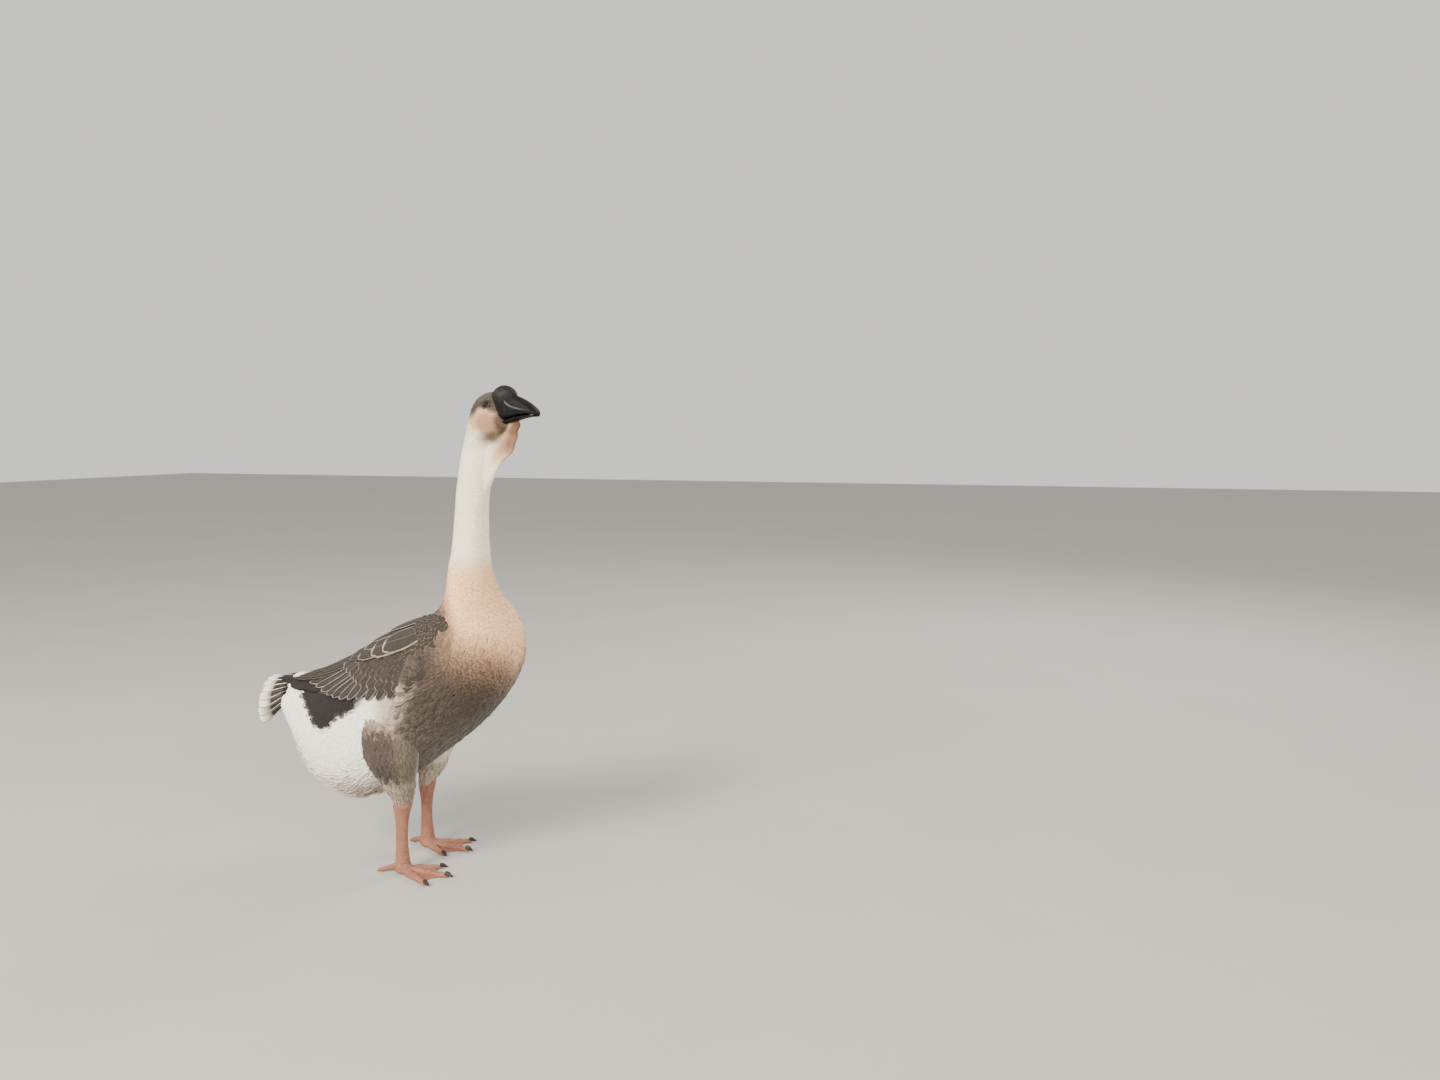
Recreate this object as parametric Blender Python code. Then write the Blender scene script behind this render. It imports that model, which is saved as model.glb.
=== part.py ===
# A standing grey knob goose, life size, in separate named parts.
# The goose faces +X, its left side is +Y and +Z is up. Lengths are in metres.
# While it is built, z = 0 is the floor and x = 0 lies between the two ankles.
# At the end everything is shifted so that the origin is the bottom centre of the whole goose.

import math

import bmesh
import bpy
import numpy as np

GAP = 0.0003  # space between parts that meet face to face

# The body line runs from the tail root to the bill base. Each place gives the section's back or
# top edge (x, z), its front or bottom edge (x, z) and its half width.
BODY_LINE = (
    ("tail root", (-0.262, 0.310), (-0.267, 0.254), 0.040),
    ("rump", (-0.225, 0.317), (-0.233, 0.211), 0.060),
    ("vent", (-0.180, 0.331), (-0.200, 0.161), 0.076),
    ("abdomen", (-0.125, 0.359), (-0.156, 0.123), 0.091),
    ("loins", (-0.065, 0.391), (-0.100, 0.109), 0.101),
    ("mid back", (-0.010, 0.421), (-0.030, 0.136), 0.106),
    ("belly", (0.040, 0.446), (0.045, 0.188), 0.107),
    ("keel", (0.066, 0.464), (0.123, 0.248), 0.104),
    ("breast", (0.0765, 0.479), (0.178, 0.306), 0.099),
    ("crop", (0.0805, 0.495), (0.208, 0.364), 0.090),
    ("shoulder", (0.0820, 0.511), (0.206, 0.415), 0.077),
    ("neck root", (0.0815, 0.529), (0.175, 0.461), 0.060),
    ("lower neck", (0.0825, 0.551), (0.1585, 0.500), 0.046),
    ("neck bend", (0.0850, 0.577), (0.1510, 0.541), 0.036),
    ("mid neck", (0.0885, 0.622), (0.1475, 0.601), 0.0315),
    ("upper neck", (0.0915, 0.671), (0.1490, 0.661), 0.0290),
    ("neck top", (0.098, 0.722), (0.157, 0.716), 0.0275),
    ("throat", (0.108, 0.760), (0.166, 0.752), 0.0280),
    ("nape", (0.1155, 0.781), (0.177, 0.765), 0.0295),
    ("hind cheek", (0.1245, 0.800), (0.187, 0.773), 0.0310),
    ("cheek", (0.1345, 0.818), (0.194, 0.778), 0.0315),
    ("eye", (0.1460, 0.833), (0.199, 0.780), 0.0300),
    ("brow", (0.1590, 0.841), (0.203, 0.782), 0.0265),
    ("face", (0.1715, 0.845), (0.2065, 0.784), 0.0215),
)
PLACE = {row[0]: place for place, row in enumerate(BODY_LINE)}
TORSO_SPAN = (PLACE["tail root"], PLACE["neck root"])
NECK_SPAN = (PLACE["neck root"], PLACE["neck top"] - 0.4)
HEAD_SPAN = (PLACE["neck top"] - 0.4, PLACE["face"])
BODY_SIDES = 26
NECK_SIDES = 20
HEAD_SIDES = 20
EGG = 0.10  # how much wider the lower half of the body is than its upper half

# The head is turned a little to the goose's right, and the turn starts part way up the neck.
HEAD_YAW = math.radians(-12)
YAW_STARTS, YAW_ENDS = 0.60, 0.77
YAW_AXIS_X = 0.125

# The folded wing lies on the body in its own map: a runs from the shoulder to the wing tip, and
# b from the upper edge to the lower one. Each row gives a, the body place and both edges' angles.
WING_MAP = (
    (0.00, 8.35, 52, 84),
    (0.08, 7.90, 43, 92),
    (0.20, 7.10, 34, 95),
    (0.36, 6.05, 26, 90),
    (0.51, 5.00, 20, 84),
    (0.66, 4.00, 16, 76),
    (0.80, 3.05, 13, 67),
    (0.92, 2.20, 12, 57),
    (1.00, 1.65, 14, 50),
    (1.25, 0.10, 18, 50),
)
WING_DEPTH = 0.0050  # how far the middle of a wing's core stands off the body
WING_STEPS = (13, 8)
CORE_SPAN = ((0.0, 0.90), (0.03, 0.84))  # the part of the map that the core covers

# The rows of vanes on a wing. Each row runs from its first feather to its last one. The ends are
# given in the wing's map, as the tips' (a, b) and how far back and up each root lies from its tip.
# Then come half width, the height of the tips off the body, and the roll that lays each feather
# of a row over the next.
FEATHER_ROWS = {
    "primaries": (3, (1.10, 0.56), (1.21, 0.90), (0.40, 0.14), 0.0085, (0.0034, 0.0022), 5),
    "secondaries": (8, (0.41, 0.99), (1.06, 0.88), (0.31, 0.24), 0.0105, (0.0040, 0.0052), 6),
    "greater coverts": (6, (0.24, 0.86), (0.84, 0.56), (0.20, 0.20), 0.0135, (0.0076, 0.0088), 5),
    "median coverts": (5, (0.17, 0.66), (0.66, 0.46), (0.15, 0.18), 0.0150, (0.0102, 0.0110), 5),
    "tertials": (2, (1.00, 0.34), (0.88, 0.08), (0.36, 0.10), 0.0170, (0.0090, 0.0108), -4),
    "hind scapulars": (3, (0.74, 0.34), (0.66, 0.05), (0.22, 0.10), 0.0200, (0.0124, 0.0128), -4),
    "mid scapulars": (3, (0.52, 0.36), (0.46, 0.05), (0.20, 0.08), 0.0200, (0.0144, 0.0148), -4),
    "fore scapulars": (3, (0.32, 0.34), (0.28, 0.05), (0.18, 0.08), 0.0190, (0.0152, 0.0156), -4),
}
VANE_THICK = 0.0008
VANE_SHAPE = ((0.0, 0.55), (0.35, 0.92), (0.72, 1.0), (0.93, 0.62), (1.0, 0.14))
ROOT_SUNK = 0.0016  # how deep a vane's root lies under the core's surface

# The dewlap under the chin, from the bill down: its root inside the throat (x, z), its free edge
# (x, z), its half thickness, and how far its folds push it aside.
DEWLAP = (
    ((0.1920, 0.7900), (0.2140, 0.7880), 0.0046, 0.0),
    ((0.1880, 0.7850), (0.2230, 0.7835), 0.0056, 0.0004),
    ((0.1820, 0.7760), (0.2240, 0.7720), 0.0062, -0.0008),
    ((0.1740, 0.7640), (0.2185, 0.7565), 0.0064, 0.0012),
    ((0.1660, 0.7520), (0.2085, 0.7410), 0.0062, -0.0012),
    ((0.1580, 0.7400), (0.1945, 0.7275), 0.0058, 0.0010),
    ((0.1520, 0.7280), (0.1800, 0.7165), 0.0048, -0.0005),
    ((0.1480, 0.7160), (0.1660, 0.7080), 0.0032, 0.0),
)
DEWLAP_STEPS, DEWLAP_SIDES = 12, 10

EYE_PLACE, EYE_ANGLE = PLACE["eye"] + 0.65, math.radians(48)
EYE_RADIUS = 0.0080
EYE_SUNK = 0.0062  # how far the eye's centre lies under the face's surface
LID_RADIUS, LID_THICK = 0.0062, 0.0013

# Bill sections: top edge (x, z), bottom edge (x, z) and half width. The first lies on the face.
UPPER_BILL = (
    ((0.1765, 0.8375), (0.2005, 0.7948), 0.0160),
    ((0.1960, 0.8420), (0.2110, 0.7970), 0.0165),
    ((0.2165, 0.8365), (0.2230, 0.8000), 0.0158),
    ((0.2335, 0.8295), (0.2360, 0.8030), 0.0148),
    ((0.2475, 0.8225), (0.2480, 0.8050), 0.0140),
    ((0.2560, 0.8165), (0.2565, 0.8045), 0.0122),
    ((0.2615, 0.8125), (0.2622, 0.8030), 0.0088),
    ((0.2640, 0.8090), (0.2642, 0.8030), 0.0045),
)
MOUTH_GAP = 0.0006
LOWER_DEPTH = (0.0088, 0.0085, 0.0078, 0.0068, 0.0056, 0.0036, 0.0016)
LOWER_WIDTH_SHARE = 0.90
BILL_SIDES = 18
KNOB_AT = (0.1875, 0.8375)
KNOB_HALF = (0.0215, 0.0165, 0.0215)
NOSTRIL_AT = (0.2170, 0.0150, 0.8165)
NOSTRIL_HALF = (0.0060, 0.0035, 0.0024)

# The leg, given for the left side: centre (x, y, z) and half sizes along x and y.
THIGH = (
    ((-0.012, 0.062, 0.285), 0.050, 0.030),
    ((-0.008, 0.072, 0.250), 0.058, 0.036),
    ((-0.006, 0.074, 0.215), 0.054, 0.036),
    ((-0.002, 0.070, 0.182), 0.041, 0.031),
    ((0.002, 0.065, 0.155), 0.028, 0.024),
    ((0.003, 0.061, 0.136), 0.0190, 0.0180),
    ((0.002, 0.060, 0.128), 0.0160, 0.0150),
)
SHANK = (
    ((0.002, 0.060, 0.1277), 0.0150, 0.0130),
    ((0.001, 0.060, 0.1180), 0.0168, 0.0142),
    ((0.000, 0.060, 0.1060), 0.0150, 0.0122),
    ((0.000, 0.060, 0.0850), 0.0115, 0.0092),
    ((0.000, 0.060, 0.0550), 0.0108, 0.0088),
    ((0.001, 0.060, 0.0320), 0.0120, 0.0105),
    ((0.002, 0.060, 0.0180), 0.0132, 0.0122),
)
LEG_SIDES = 16
LEG_STRIDE = {"right": 0.014, "left": -0.014}  # how far each ankle is ahead of the middle

# The foot, from the ankle: each toe's heading from straight ahead, length, half width and height.
# Positive headings turn away from the goose's middle.
TOES = {
    "inner": (-30, 0.070, 0.0062, 0.0100),
    "middle": (-2, 0.092, 0.0068, 0.0110),
    "outer": (27, 0.083, 0.0062, 0.0100),
}
TOE_STEPS = 9
KNUCKLES = {"inner": (0.42, 0.80), "middle": (0.36, 0.62, 0.86), "outer": (0.30, 0.52, 0.72, 0.90)}
CLAW_LENGTH = 0.0095
WEB_THICK, WEB_LIFT = 0.0026, 0.0006
WEB_STEPS = 6
ANKLE_RINGS = (
    ((0.003, 0.0172), 0.0133, 0.0124),
    ((0.004, 0.0115), 0.0150, 0.0138),
    ((0.006, 0.0050), 0.0165, 0.0142),
    ((0.007, 0.0000), 0.0120, 0.0105),
)
HIND_TOE = (
    (-0.010, 0.0096, 0.0058),
    (-0.020, 0.0080, 0.0047),
    (-0.030, 0.0046, 0.0046),
    (-0.037, 0.0030, 0.0036),
    (-0.042, 0.0016, 0.0018),
)

# The tail: its core goes on from the tail root in rings of centre (x, z), half height, half width.
TAIL_CORE = (
    ((-0.276, 0.2810), 0.0280, 0.0410),
    ((-0.287, 0.2820), 0.0230, 0.0400),
    ((-0.297, 0.2850), 0.0140, 0.0340),
    ((-0.304, 0.2890), 0.0050, 0.0230),
)
TAIL_SIDES = 20

# Tail feathers stand along a roof-shaped arch. Each row gives the count, the arch's half angle,
# root (x, z, radii across and up), tip (x, z, radii across and up), half width and roll. The tips
# of the outer feathers reach less far back by the last number.
TAIL_ROWS = {
    "rectrices": (9, 80, (-0.268, 0.283, 0.030, 0.024), (-0.316, 0.246, 0.050, 0.062), 0.0115, 5, 0.033),
    "coverts": (5, 62, (-0.266, 0.284, 0.033, 0.024), (-0.292, 0.272, 0.045, 0.046), 0.0140, 4, 0.010),
}

COLOURS = {
    "breast": ((0.62, 0.50, 0.40), 0.85),
    "neck": ((0.86, 0.81, 0.72), 0.85),
    "face": ((0.66, 0.52, 0.38), 0.85),
    "wing": ((0.27, 0.24, 0.21), 0.80),
    "tail": ((0.80, 0.78, 0.74), 0.85),
    "bill": ((0.035, 0.035, 0.038), 0.45),
    "eye": ((0.035, 0.018, 0.010), 0.08),
    "thigh": ((0.45, 0.41, 0.36), 0.85),
    "leg": ((0.72, 0.36, 0.24), 0.55),
}


def smooth(values, places):
    """Catmull-Rom values at the given places, where place 0 is the first row of values."""
    rows = np.asarray(values, float).reshape(len(values), -1)
    places = np.atleast_1d(np.asarray(places, float))
    ends = np.vstack([2 * rows[0] - rows[1], rows, 2 * rows[-1] - rows[-2]])
    first = np.clip(np.floor(places).astype(int), 0, len(rows) - 2)
    share = (places - first)[:, None]
    before, here, there, after = (ends[first + step] for step in range(4))
    return 0.5 * (
        2 * here
        + (there - before) * share
        + (2 * before - 5 * here + 4 * there - after) * share**2
        + (3 * here - before - 3 * there + after) * share**3
    )


def body_sections(places):
    """Back edge, front edge and half width of the body line at the given places."""
    rows = [(*back, *front, width) for _, back, front, width in BODY_LINE]
    found = smooth(rows, places)
    return found[:, 0:2], found[:, 2:4], found[:, 4]


def body_points(places, angles):
    """Points on the body's outside. Angle 0 is the back or top, and 90 degrees the left side."""
    places, angles = np.broadcast_arrays(np.asarray(places, float), np.asarray(angles, float))
    back, front, width = body_sections(places.ravel())
    angle = angles.ravel()
    middle, half = (back + front) / 2, (back - front) / 2
    in_plane = middle + np.cos(angle)[:, None] * half
    on_torso = np.clip((PLACE["neck root"] - places.ravel()) / 4, 0, 1)
    sideways = np.sin(angle) * width * (1 - EGG * on_torso * np.cos(angle))
    points = np.stack([in_plane[:, 0], sideways, in_plane[:, 1]], axis=1)
    return points.reshape(*places.shape, 3)


def body_normals(places, angles):
    """Outward unit normals of the body, from small steps along it and around it."""
    places, angles = np.broadcast_arrays(np.asarray(places, float), np.asarray(angles, float))
    step = 1e-3
    along = body_points(places + step, angles) - body_points(places - step, angles)
    around = body_points(places, angles + step) - body_points(places, angles - step)
    normal = np.cross(along, around)
    return normal / np.linalg.norm(normal, axis=-1, keepdims=True)


def tube(rings, close=True):
    """Points and triangles of a closed tube through the rings, which hold equally many points."""
    rings = np.asarray(rings, float)
    count, sides = rings.shape[:2]
    points = [tuple(p) for p in rings.reshape(-1, 3)]
    faces = []
    for ring in range(count - 1):
        for side in range(sides):
            a, b = ring * sides + side, ring * sides + (side + 1) % sides
            c, d = a + sides, b + sides
            faces += [(a, b, d), (a, d, c)]
    if close:
        for ring, turn in ((0, False), (count - 1, True)):
            middle = len(points)
            points.append(tuple(rings[ring].mean(axis=0)))
            for side in range(sides):
                a, b = ring * sides + side, ring * sides + (side + 1) % sides
                faces.append((middle, a, b) if turn else (middle, b, a))
    return np.array(points), faces


def facing_out(points, faces):
    """The same faces, turned round where the closed mesh is inside out."""
    corners = np.asarray(points)[np.asarray(faces)]
    volume = np.linalg.det(corners).sum() / 6
    return faces if volume > 0 else [face[::-1] for face in faces]


def material_of(name):
    """The named finish as a Principled material, made once."""
    material = bpy.data.materials.get(name)
    if material is None:
        material = bpy.data.materials.new(name)
        material.use_nodes = True
        shader = material.node_tree.nodes["Principled BSDF"]
        colour, roughness = COLOURS[name]
        shader.inputs["Base Color"].default_value = (*colour, 1)
        shader.inputs["Roughness"].default_value = roughness
        shader.inputs["Metallic"].default_value = 0
    return material


def solid(name, points, faces, finish):
    """A mesh object of that name in the scene."""
    mesh = bpy.data.meshes.new(name)
    mesh.from_pydata([tuple(p) for p in points], [], facing_out(points, faces))
    mesh.materials.append(material_of(finish))
    thing = bpy.data.objects.new(name, mesh)
    bpy.context.scene.collection.objects.link(thing)
    return thing


def drop(things):
    """Removes helper objects."""
    for thing in things:
        bpy.data.objects.remove(thing)


def combine(thing, others, operation, solver="MANIFOLD"):
    """Joins the others to the thing, or cuts them from it, and keeps its largest closed surface."""
    helpers = bpy.data.collections.new("helpers")
    bpy.context.scene.collection.children.link(helpers)
    for other in others:
        bpy.context.scene.collection.objects.unlink(other)
        helpers.objects.link(other)
    modifier = thing.modifiers.new(operation, "BOOLEAN")
    modifier.operand_type = "COLLECTION"
    modifier.collection = helpers
    modifier.operation = operation
    modifier.solver = solver
    bpy.context.view_layer.update()
    graph = bpy.context.evaluated_depsgraph_get()
    made = bpy.data.meshes.new_from_object(thing.evaluated_get(graph))
    thing.modifiers.clear()
    thing.data = made
    drop(others)
    bpy.data.collections.remove(helpers)
    keep_largest(thing)


def weld(mesh, distance=0.000002):
    """Merges points that nearly meet, and leaves only whole triangles."""
    work = bmesh.new()
    work.from_mesh(mesh)
    bmesh.ops.triangulate(work, faces=work.faces)
    bmesh.ops.remove_doubles(work, verts=work.verts, dist=distance)
    bmesh.ops.dissolve_degenerate(work, edges=work.edges, dist=distance)
    bmesh.ops.triangulate(work, faces=work.faces)
    work.to_mesh(mesh)
    work.free()


def keep_largest(thing):
    """Drops every closed surface of the mesh but the one that holds the most space."""
    mesh = thing.data
    weld(mesh)
    mesh.calc_loop_triangles()
    points = np.array([v.co for v in mesh.vertices])
    faces = np.array([t.vertices for t in mesh.loop_triangles])
    group = np.arange(len(points))
    while True:
        lowest = group[faces].min(axis=1)
        spread = group.copy()
        for corner in range(3):
            np.minimum.at(spread, faces[:, corner], lowest)
        if (spread == group).all():
            break
        group = spread
    volumes = {}
    for name in np.unique(group[faces[:, 0]]):
        corners = points[faces[group[faces[:, 0]] == name]]
        volumes[name] = np.linalg.det(corners).sum() / 6
    best = max(volumes, key=volumes.get)
    kept = faces[group[faces[:, 0]] == best]
    used, index = np.unique(kept, return_inverse=True)
    finish = mesh.materials[0]
    new = bpy.data.meshes.new(thing.name)
    new.from_pydata([tuple(p) for p in points[used]], [], index.reshape(-1, 3).tolist())
    new.materials.append(finish)
    thing.data = new


def body_rings(span, sides, count, offset=0.0):
    """Rings of the body line over a span of places, standing off its surface by the offset."""
    places = np.linspace(span[0], span[1], count)[:, None]
    angles = np.arange(sides)[None, :] * 2 * math.pi / sides
    rings = body_points(places, angles)
    if offset:
        rings = rings + offset * body_normals(places + 0 * angles, angles + 0 * places)
    return rings


def shifted_end(rings, which, distance):
    """Moves the first or last ring along its own plane's normal, away from the tube's middle."""
    ring = rings[which]
    middle = ring.mean(axis=0)
    normal = np.cross(ring[0] - middle, ring[len(ring) // 4] - middle)
    normal /= np.linalg.norm(normal)
    if normal @ (middle - rings.mean(axis=(0, 1))) < 0:
        normal = -normal
    rings[which] = ring + distance * normal
    return rings


def make_torso():
    rings = body_rings(TORSO_SPAN, BODY_SIDES, 2 * (TORSO_SPAN[1] - TORSO_SPAN[0]) + 1)
    solid("torso", *tube(rings), "breast")


def body_cutter(name, offset=GAP):
    """The torso grown by the gap and run on past both its ends, to cut what lies on it."""
    steps = 2 * (TORSO_SPAN[1] - TORSO_SPAN[0]) + 1
    rings = body_rings(TORSO_SPAN, BODY_SIDES, steps, offset)
    front = body_rings((TORSO_SPAN[1], TORSO_SPAN[1] + 1), BODY_SIDES, 3, offset)[1:]
    return solid(name, *tube(np.concatenate([rings, front])), "breast")


def make_neck():
    rings = body_rings(NECK_SPAN, NECK_SIDES, 12)
    shifted_end(rings, 0, -GAP)
    solid("neck", *tube(rings), "neck")


def ellipsoid(name, centre, half, finish, tilt=0.0, rings=10, sides=16):
    """A closed ellipsoid of half sizes along x, y and z, tilted about the y axis."""
    down = np.linspace(0, math.pi, rings + 1)[1:-1, None]
    around = np.arange(sides)[None, :] * 2 * math.pi / sides
    local = np.stack(
        [
            half[0] * np.sin(down) * np.cos(around),
            half[1] * np.sin(down) * np.sin(around),
            half[2] * np.cos(down) * np.ones_like(around),
        ],
        axis=-1,
    )
    points = local.reshape(-1, 3)
    poles = np.array([(0, 0, half[2]), (0, 0, -half[2])])
    points = np.vstack([points, poles])
    turned = points.copy()
    turned[:, 0] = points[:, 0] * math.cos(tilt) - points[:, 2] * math.sin(tilt)
    turned[:, 2] = points[:, 0] * math.sin(tilt) + points[:, 2] * math.cos(tilt)
    faces = []
    last = (rings - 2) * sides
    for side in range(sides):
        after = (side + 1) % sides
        faces.append((len(points) - 2, side, after))
        faces.append((len(points) - 1, last + after, last + side))
        for ring in range(rings - 2):
            a, b = ring * sides + side, ring * sides + after
            faces += [(a, a + sides, b + sides), (a, b + sides, b)]
    return solid(name, turned + np.asarray(centre), faces, finish)


def eye_frame(side):
    """The eye's place on the face and the way that it looks out, for side +1 (left) or -1."""
    angle = EYE_ANGLE * side
    at = body_points(EYE_PLACE, angle)
    out = body_normals(np.array([EYE_PLACE]), np.array([angle]))[0]
    return at, out


def lid_ring(name, at, out):
    """The rim of the eyelids: a slim ring, a little longer than high, flat on the face."""
    ahead = np.array([1.0, 0.0, 0.15])
    ahead -= out * (ahead @ out)
    ahead /= np.linalg.norm(ahead)
    up = np.cross(out, ahead)
    turns, sides = 12, 5
    rings = []
    for turn in range(turns):
        angle = 2 * math.pi * turn / turns
        spoke = 1.12 * math.cos(angle) * ahead + 0.92 * math.sin(angle) * up
        centre = at + LID_RADIUS * spoke
        spoke = spoke / np.linalg.norm(spoke)
        rings.append(
            [
                centre + LID_THICK * (math.cos(a) * spoke + math.sin(a) * out)
                for a in 2 * math.pi * np.arange(sides) / sides
            ]
        )
    points, faces = tube(rings, close=False)
    for side in range(sides):
        a, b = (turns - 1) * sides + side, (turns - 1) * sides + (side + 1) % sides
        c, d = side, (side + 1) % sides
        faces += [(a, b, d), (a, d, c)]
    return solid(name, points, faces, "face")


def dewlap_solid(name, offset=0.0):
    """The dewlap, thick at its root and thin at its free edge, with its folds."""
    rows = [(*root, *edge, thick, fold) for root, edge, thick, fold in DEWLAP]
    found = smooth(rows, np.linspace(0, len(DEWLAP) - 1, DEWLAP_STEPS))
    angles = np.arange(DEWLAP_SIDES) * 2 * math.pi / DEWLAP_SIDES
    out = np.cos(angles)
    rings = []
    for root_x, root_z, edge_x, edge_z, thick, fold in found:
        middle, reach = (root_x + edge_x) / 2, (root_z + edge_z) / 2
        half_x, half_z = (edge_x - root_x) / 2, (edge_z - root_z) / 2
        grown = 1 + offset / math.hypot(half_x, half_z)
        aside = np.sin(angles) * (thick * (1 - 0.45 * out) + offset) + fold * (0.5 + 0.5 * out) ** 2
        rings.append(np.stack([middle + grown * half_x * out, aside, reach + grown * half_z * out], axis=1))
    rings = np.array(rings)
    if offset:
        shifted_end(rings, 0, offset)
        shifted_end(rings, -1, offset)
    return solid(name, *tube(rings), "face")


def make_head():
    rings = body_rings(HEAD_SPAN, HEAD_SIDES, 16)
    shifted_end(rings, 0, -GAP)
    head = solid("head", *tube(rings), "face")
    dewlap = dewlap_solid("dewlap")
    lids = [lid_ring("lid", *eye_frame(side)) for side in (1, -1)]
    combine(head, [dewlap, *lids], "UNION")
    sockets = []
    for side in (1, -1):
        at, out = eye_frame(side)
        radius = EYE_RADIUS + GAP
        sockets.append(
            ellipsoid("socket", at - EYE_SUNK * out, (radius,) * 3, "face", rings=10, sides=14)
        )
    combine(head, sockets, "DIFFERENCE")
    for side, name in ((1, "left"), (-1, "right")):
        at, out = eye_frame(side)
        eye_at = at - EYE_SUNK * out
        ellipsoid(f"eye_{name}", eye_at, (EYE_RADIUS,) * 3, "eye", rings=11, sides=16)


def arch(top, bottom, width, sides, flat):
    """A bill section: a domed side towards the top edge and a nearly flat one at the bottom."""
    top, bottom = np.asarray(top), np.asarray(bottom)
    ring = []
    for side in range(sides):
        angle = 2 * math.pi * side / sides
        up, across = math.cos(angle), math.sin(angle)
        level = 0.30 + 0.70 * up if up > 0 else 0.30 + 0.30 * math.copysign(abs(up) ** flat, up)
        across = math.copysign(abs(across) ** 0.8, across)
        x, z = bottom + level * (top - bottom)
        ring.append((x, width * across, z))
    return ring


def on_face(ring, distance):
    """Drops a ring onto the plane of the face, then moves it forward off it by the distance."""
    back, front, _ = body_sections([PLACE["face"]])
    edge = (back - front)[0]
    normal = np.array([edge[1], 0, -edge[0]])
    normal /= np.linalg.norm(normal)
    at = np.array([front[0, 0], 0, front[0, 1]])
    ring = np.asarray(ring, float)
    return ring + (distance - (ring - at) @ normal)[:, None] * normal


def upper_bill_rings(offset=0.0):
    """Rings of the upper bill, grown by the offset where it serves as a cutter."""
    rings = []
    for top, bottom, width in UPPER_BILL:
        grow = offset * np.array([0, 1])
        rings.append(arch(np.array(top) + grow, np.array(bottom) - grow, width + offset, BILL_SIDES, 0.6))
    rings = np.array(rings)
    rings[0] = on_face(rings[0], GAP)
    return rings


def lower_bill_rings():
    """Rings of the lower bill, which hangs under the upper one by the mouth's gap."""
    rings = []
    for (_, bottom, width), depth in zip(UPPER_BILL, LOWER_DEPTH):
        top = np.array(bottom) - (0, MOUTH_GAP)
        low = top - (0, depth)
        ring = arch(low, top, width * LOWER_WIDTH_SHARE, 14, 0.4)
        rings.append(ring)
    rings = np.array(rings)
    rings[0] = on_face(rings[0], GAP)
    return rings


def make_bill():
    upper = solid("bill_upper", *tube(upper_bill_rings()), "bill")
    nostrils = []
    for side in (1, -1):
        x, y, z = NOSTRIL_AT
        tilt = math.radians(-18)
        nostrils.append(
            ellipsoid("nostril", (x, side * y, z), NOSTRIL_HALF, "bill", tilt, rings=6, sides=10)
        )
    combine(upper, nostrils, "DIFFERENCE")
    lower = solid("bill_lower", *tube(lower_bill_rings()), "bill")
    combine(lower, [dewlap_solid("dewlap_cutter", GAP)], "DIFFERENCE")
    knob = ellipsoid("knob", (KNOB_AT[0], 0, KNOB_AT[1]), KNOB_HALF, "bill", rings=12, sides=18)
    bill_rings = upper_bill_rings(2 * GAP)
    start = on_face(bill_rings[0], -0.001)
    bill = solid("bill_cutter", *tube([start, *bill_rings]), "bill")
    head_rings = shifted_end(body_rings(HEAD_SPAN, HEAD_SIDES, 16, GAP), -1, 2 * GAP)
    head = solid("head_cutter", *tube(head_rings), "bill")
    combine(knob, [bill, head], "DIFFERENCE")


def turn_head(things):
    """Turns what lies above the turn's start about an upright line through the neck."""
    for thing in things:
        mesh = thing.data
        points = np.array([v.co for v in mesh.vertices])
        share = np.clip((points[:, 2] - YAW_STARTS) / (YAW_ENDS - YAW_STARTS), 0, 1)
        yaw = HEAD_YAW * share * share * (3 - 2 * share)
        x, y = points[:, 0] - YAW_AXIS_X, points[:, 1].copy()
        points[:, 0] = YAW_AXIS_X + x * np.cos(yaw) - y * np.sin(yaw)
        points[:, 1] = x * np.sin(yaw) + y * np.cos(yaw)
        mesh.vertices.foreach_set("co", points.ravel())
        mesh.update()


def wing_map(a, b):
    """Body place and angle of a point of the folded wing's own map."""
    rows = np.array(WING_MAP, float)
    place = np.interp(a, rows[:, 0], rows[:, 1])
    upper = np.radians(np.interp(a, rows[:, 0], rows[:, 2]))
    lower = np.radians(np.interp(a, rows[:, 0], rows[:, 3]))
    return place, upper + (lower - upper) * b


def wing_points(a, b, height, side):
    """Points at a height above the body over the wing's map, for side +1 (left) or -1."""
    a, b, height = np.broadcast_arrays(*(np.asarray(v, float) for v in (a, b, height)))
    place, angle = wing_map(a, b)
    points = body_points(place, angle) + height[..., None] * body_normals(place, angle)
    points[..., 1] *= side
    return points


def shell(outer, inner):
    """Points and triangles of a closed slab between two grids of the same size."""
    rows, columns = outer.shape[:2]
    points = np.concatenate([outer.reshape(-1, 3), inner.reshape(-1, 3)])
    half = rows * columns
    faces = []
    for r in range(rows - 1):
        for c in range(columns - 1):
            p, q = r * columns + c, r * columns + c + 1
            s, t = p + columns, q + columns
            faces += [(p, q, t), (p, t, s)]
            faces += [(half + p, half + t, half + q), (half + p, half + s, half + t)]
    rim = [(0, c) for c in range(columns)] + [(r, columns - 1) for r in range(1, rows)]
    rim += [(rows - 1, c) for c in range(columns - 2, -1, -1)]
    rim += [(r, 0) for r in range(rows - 2, 0, -1)]
    edge = [r * columns + c for r, c in rim]
    for p, q in zip(edge, edge[1:] + edge[:1]):
        faces += [(p, half + p, half + q), (p, half + q, q)]
    return points, faces


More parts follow.
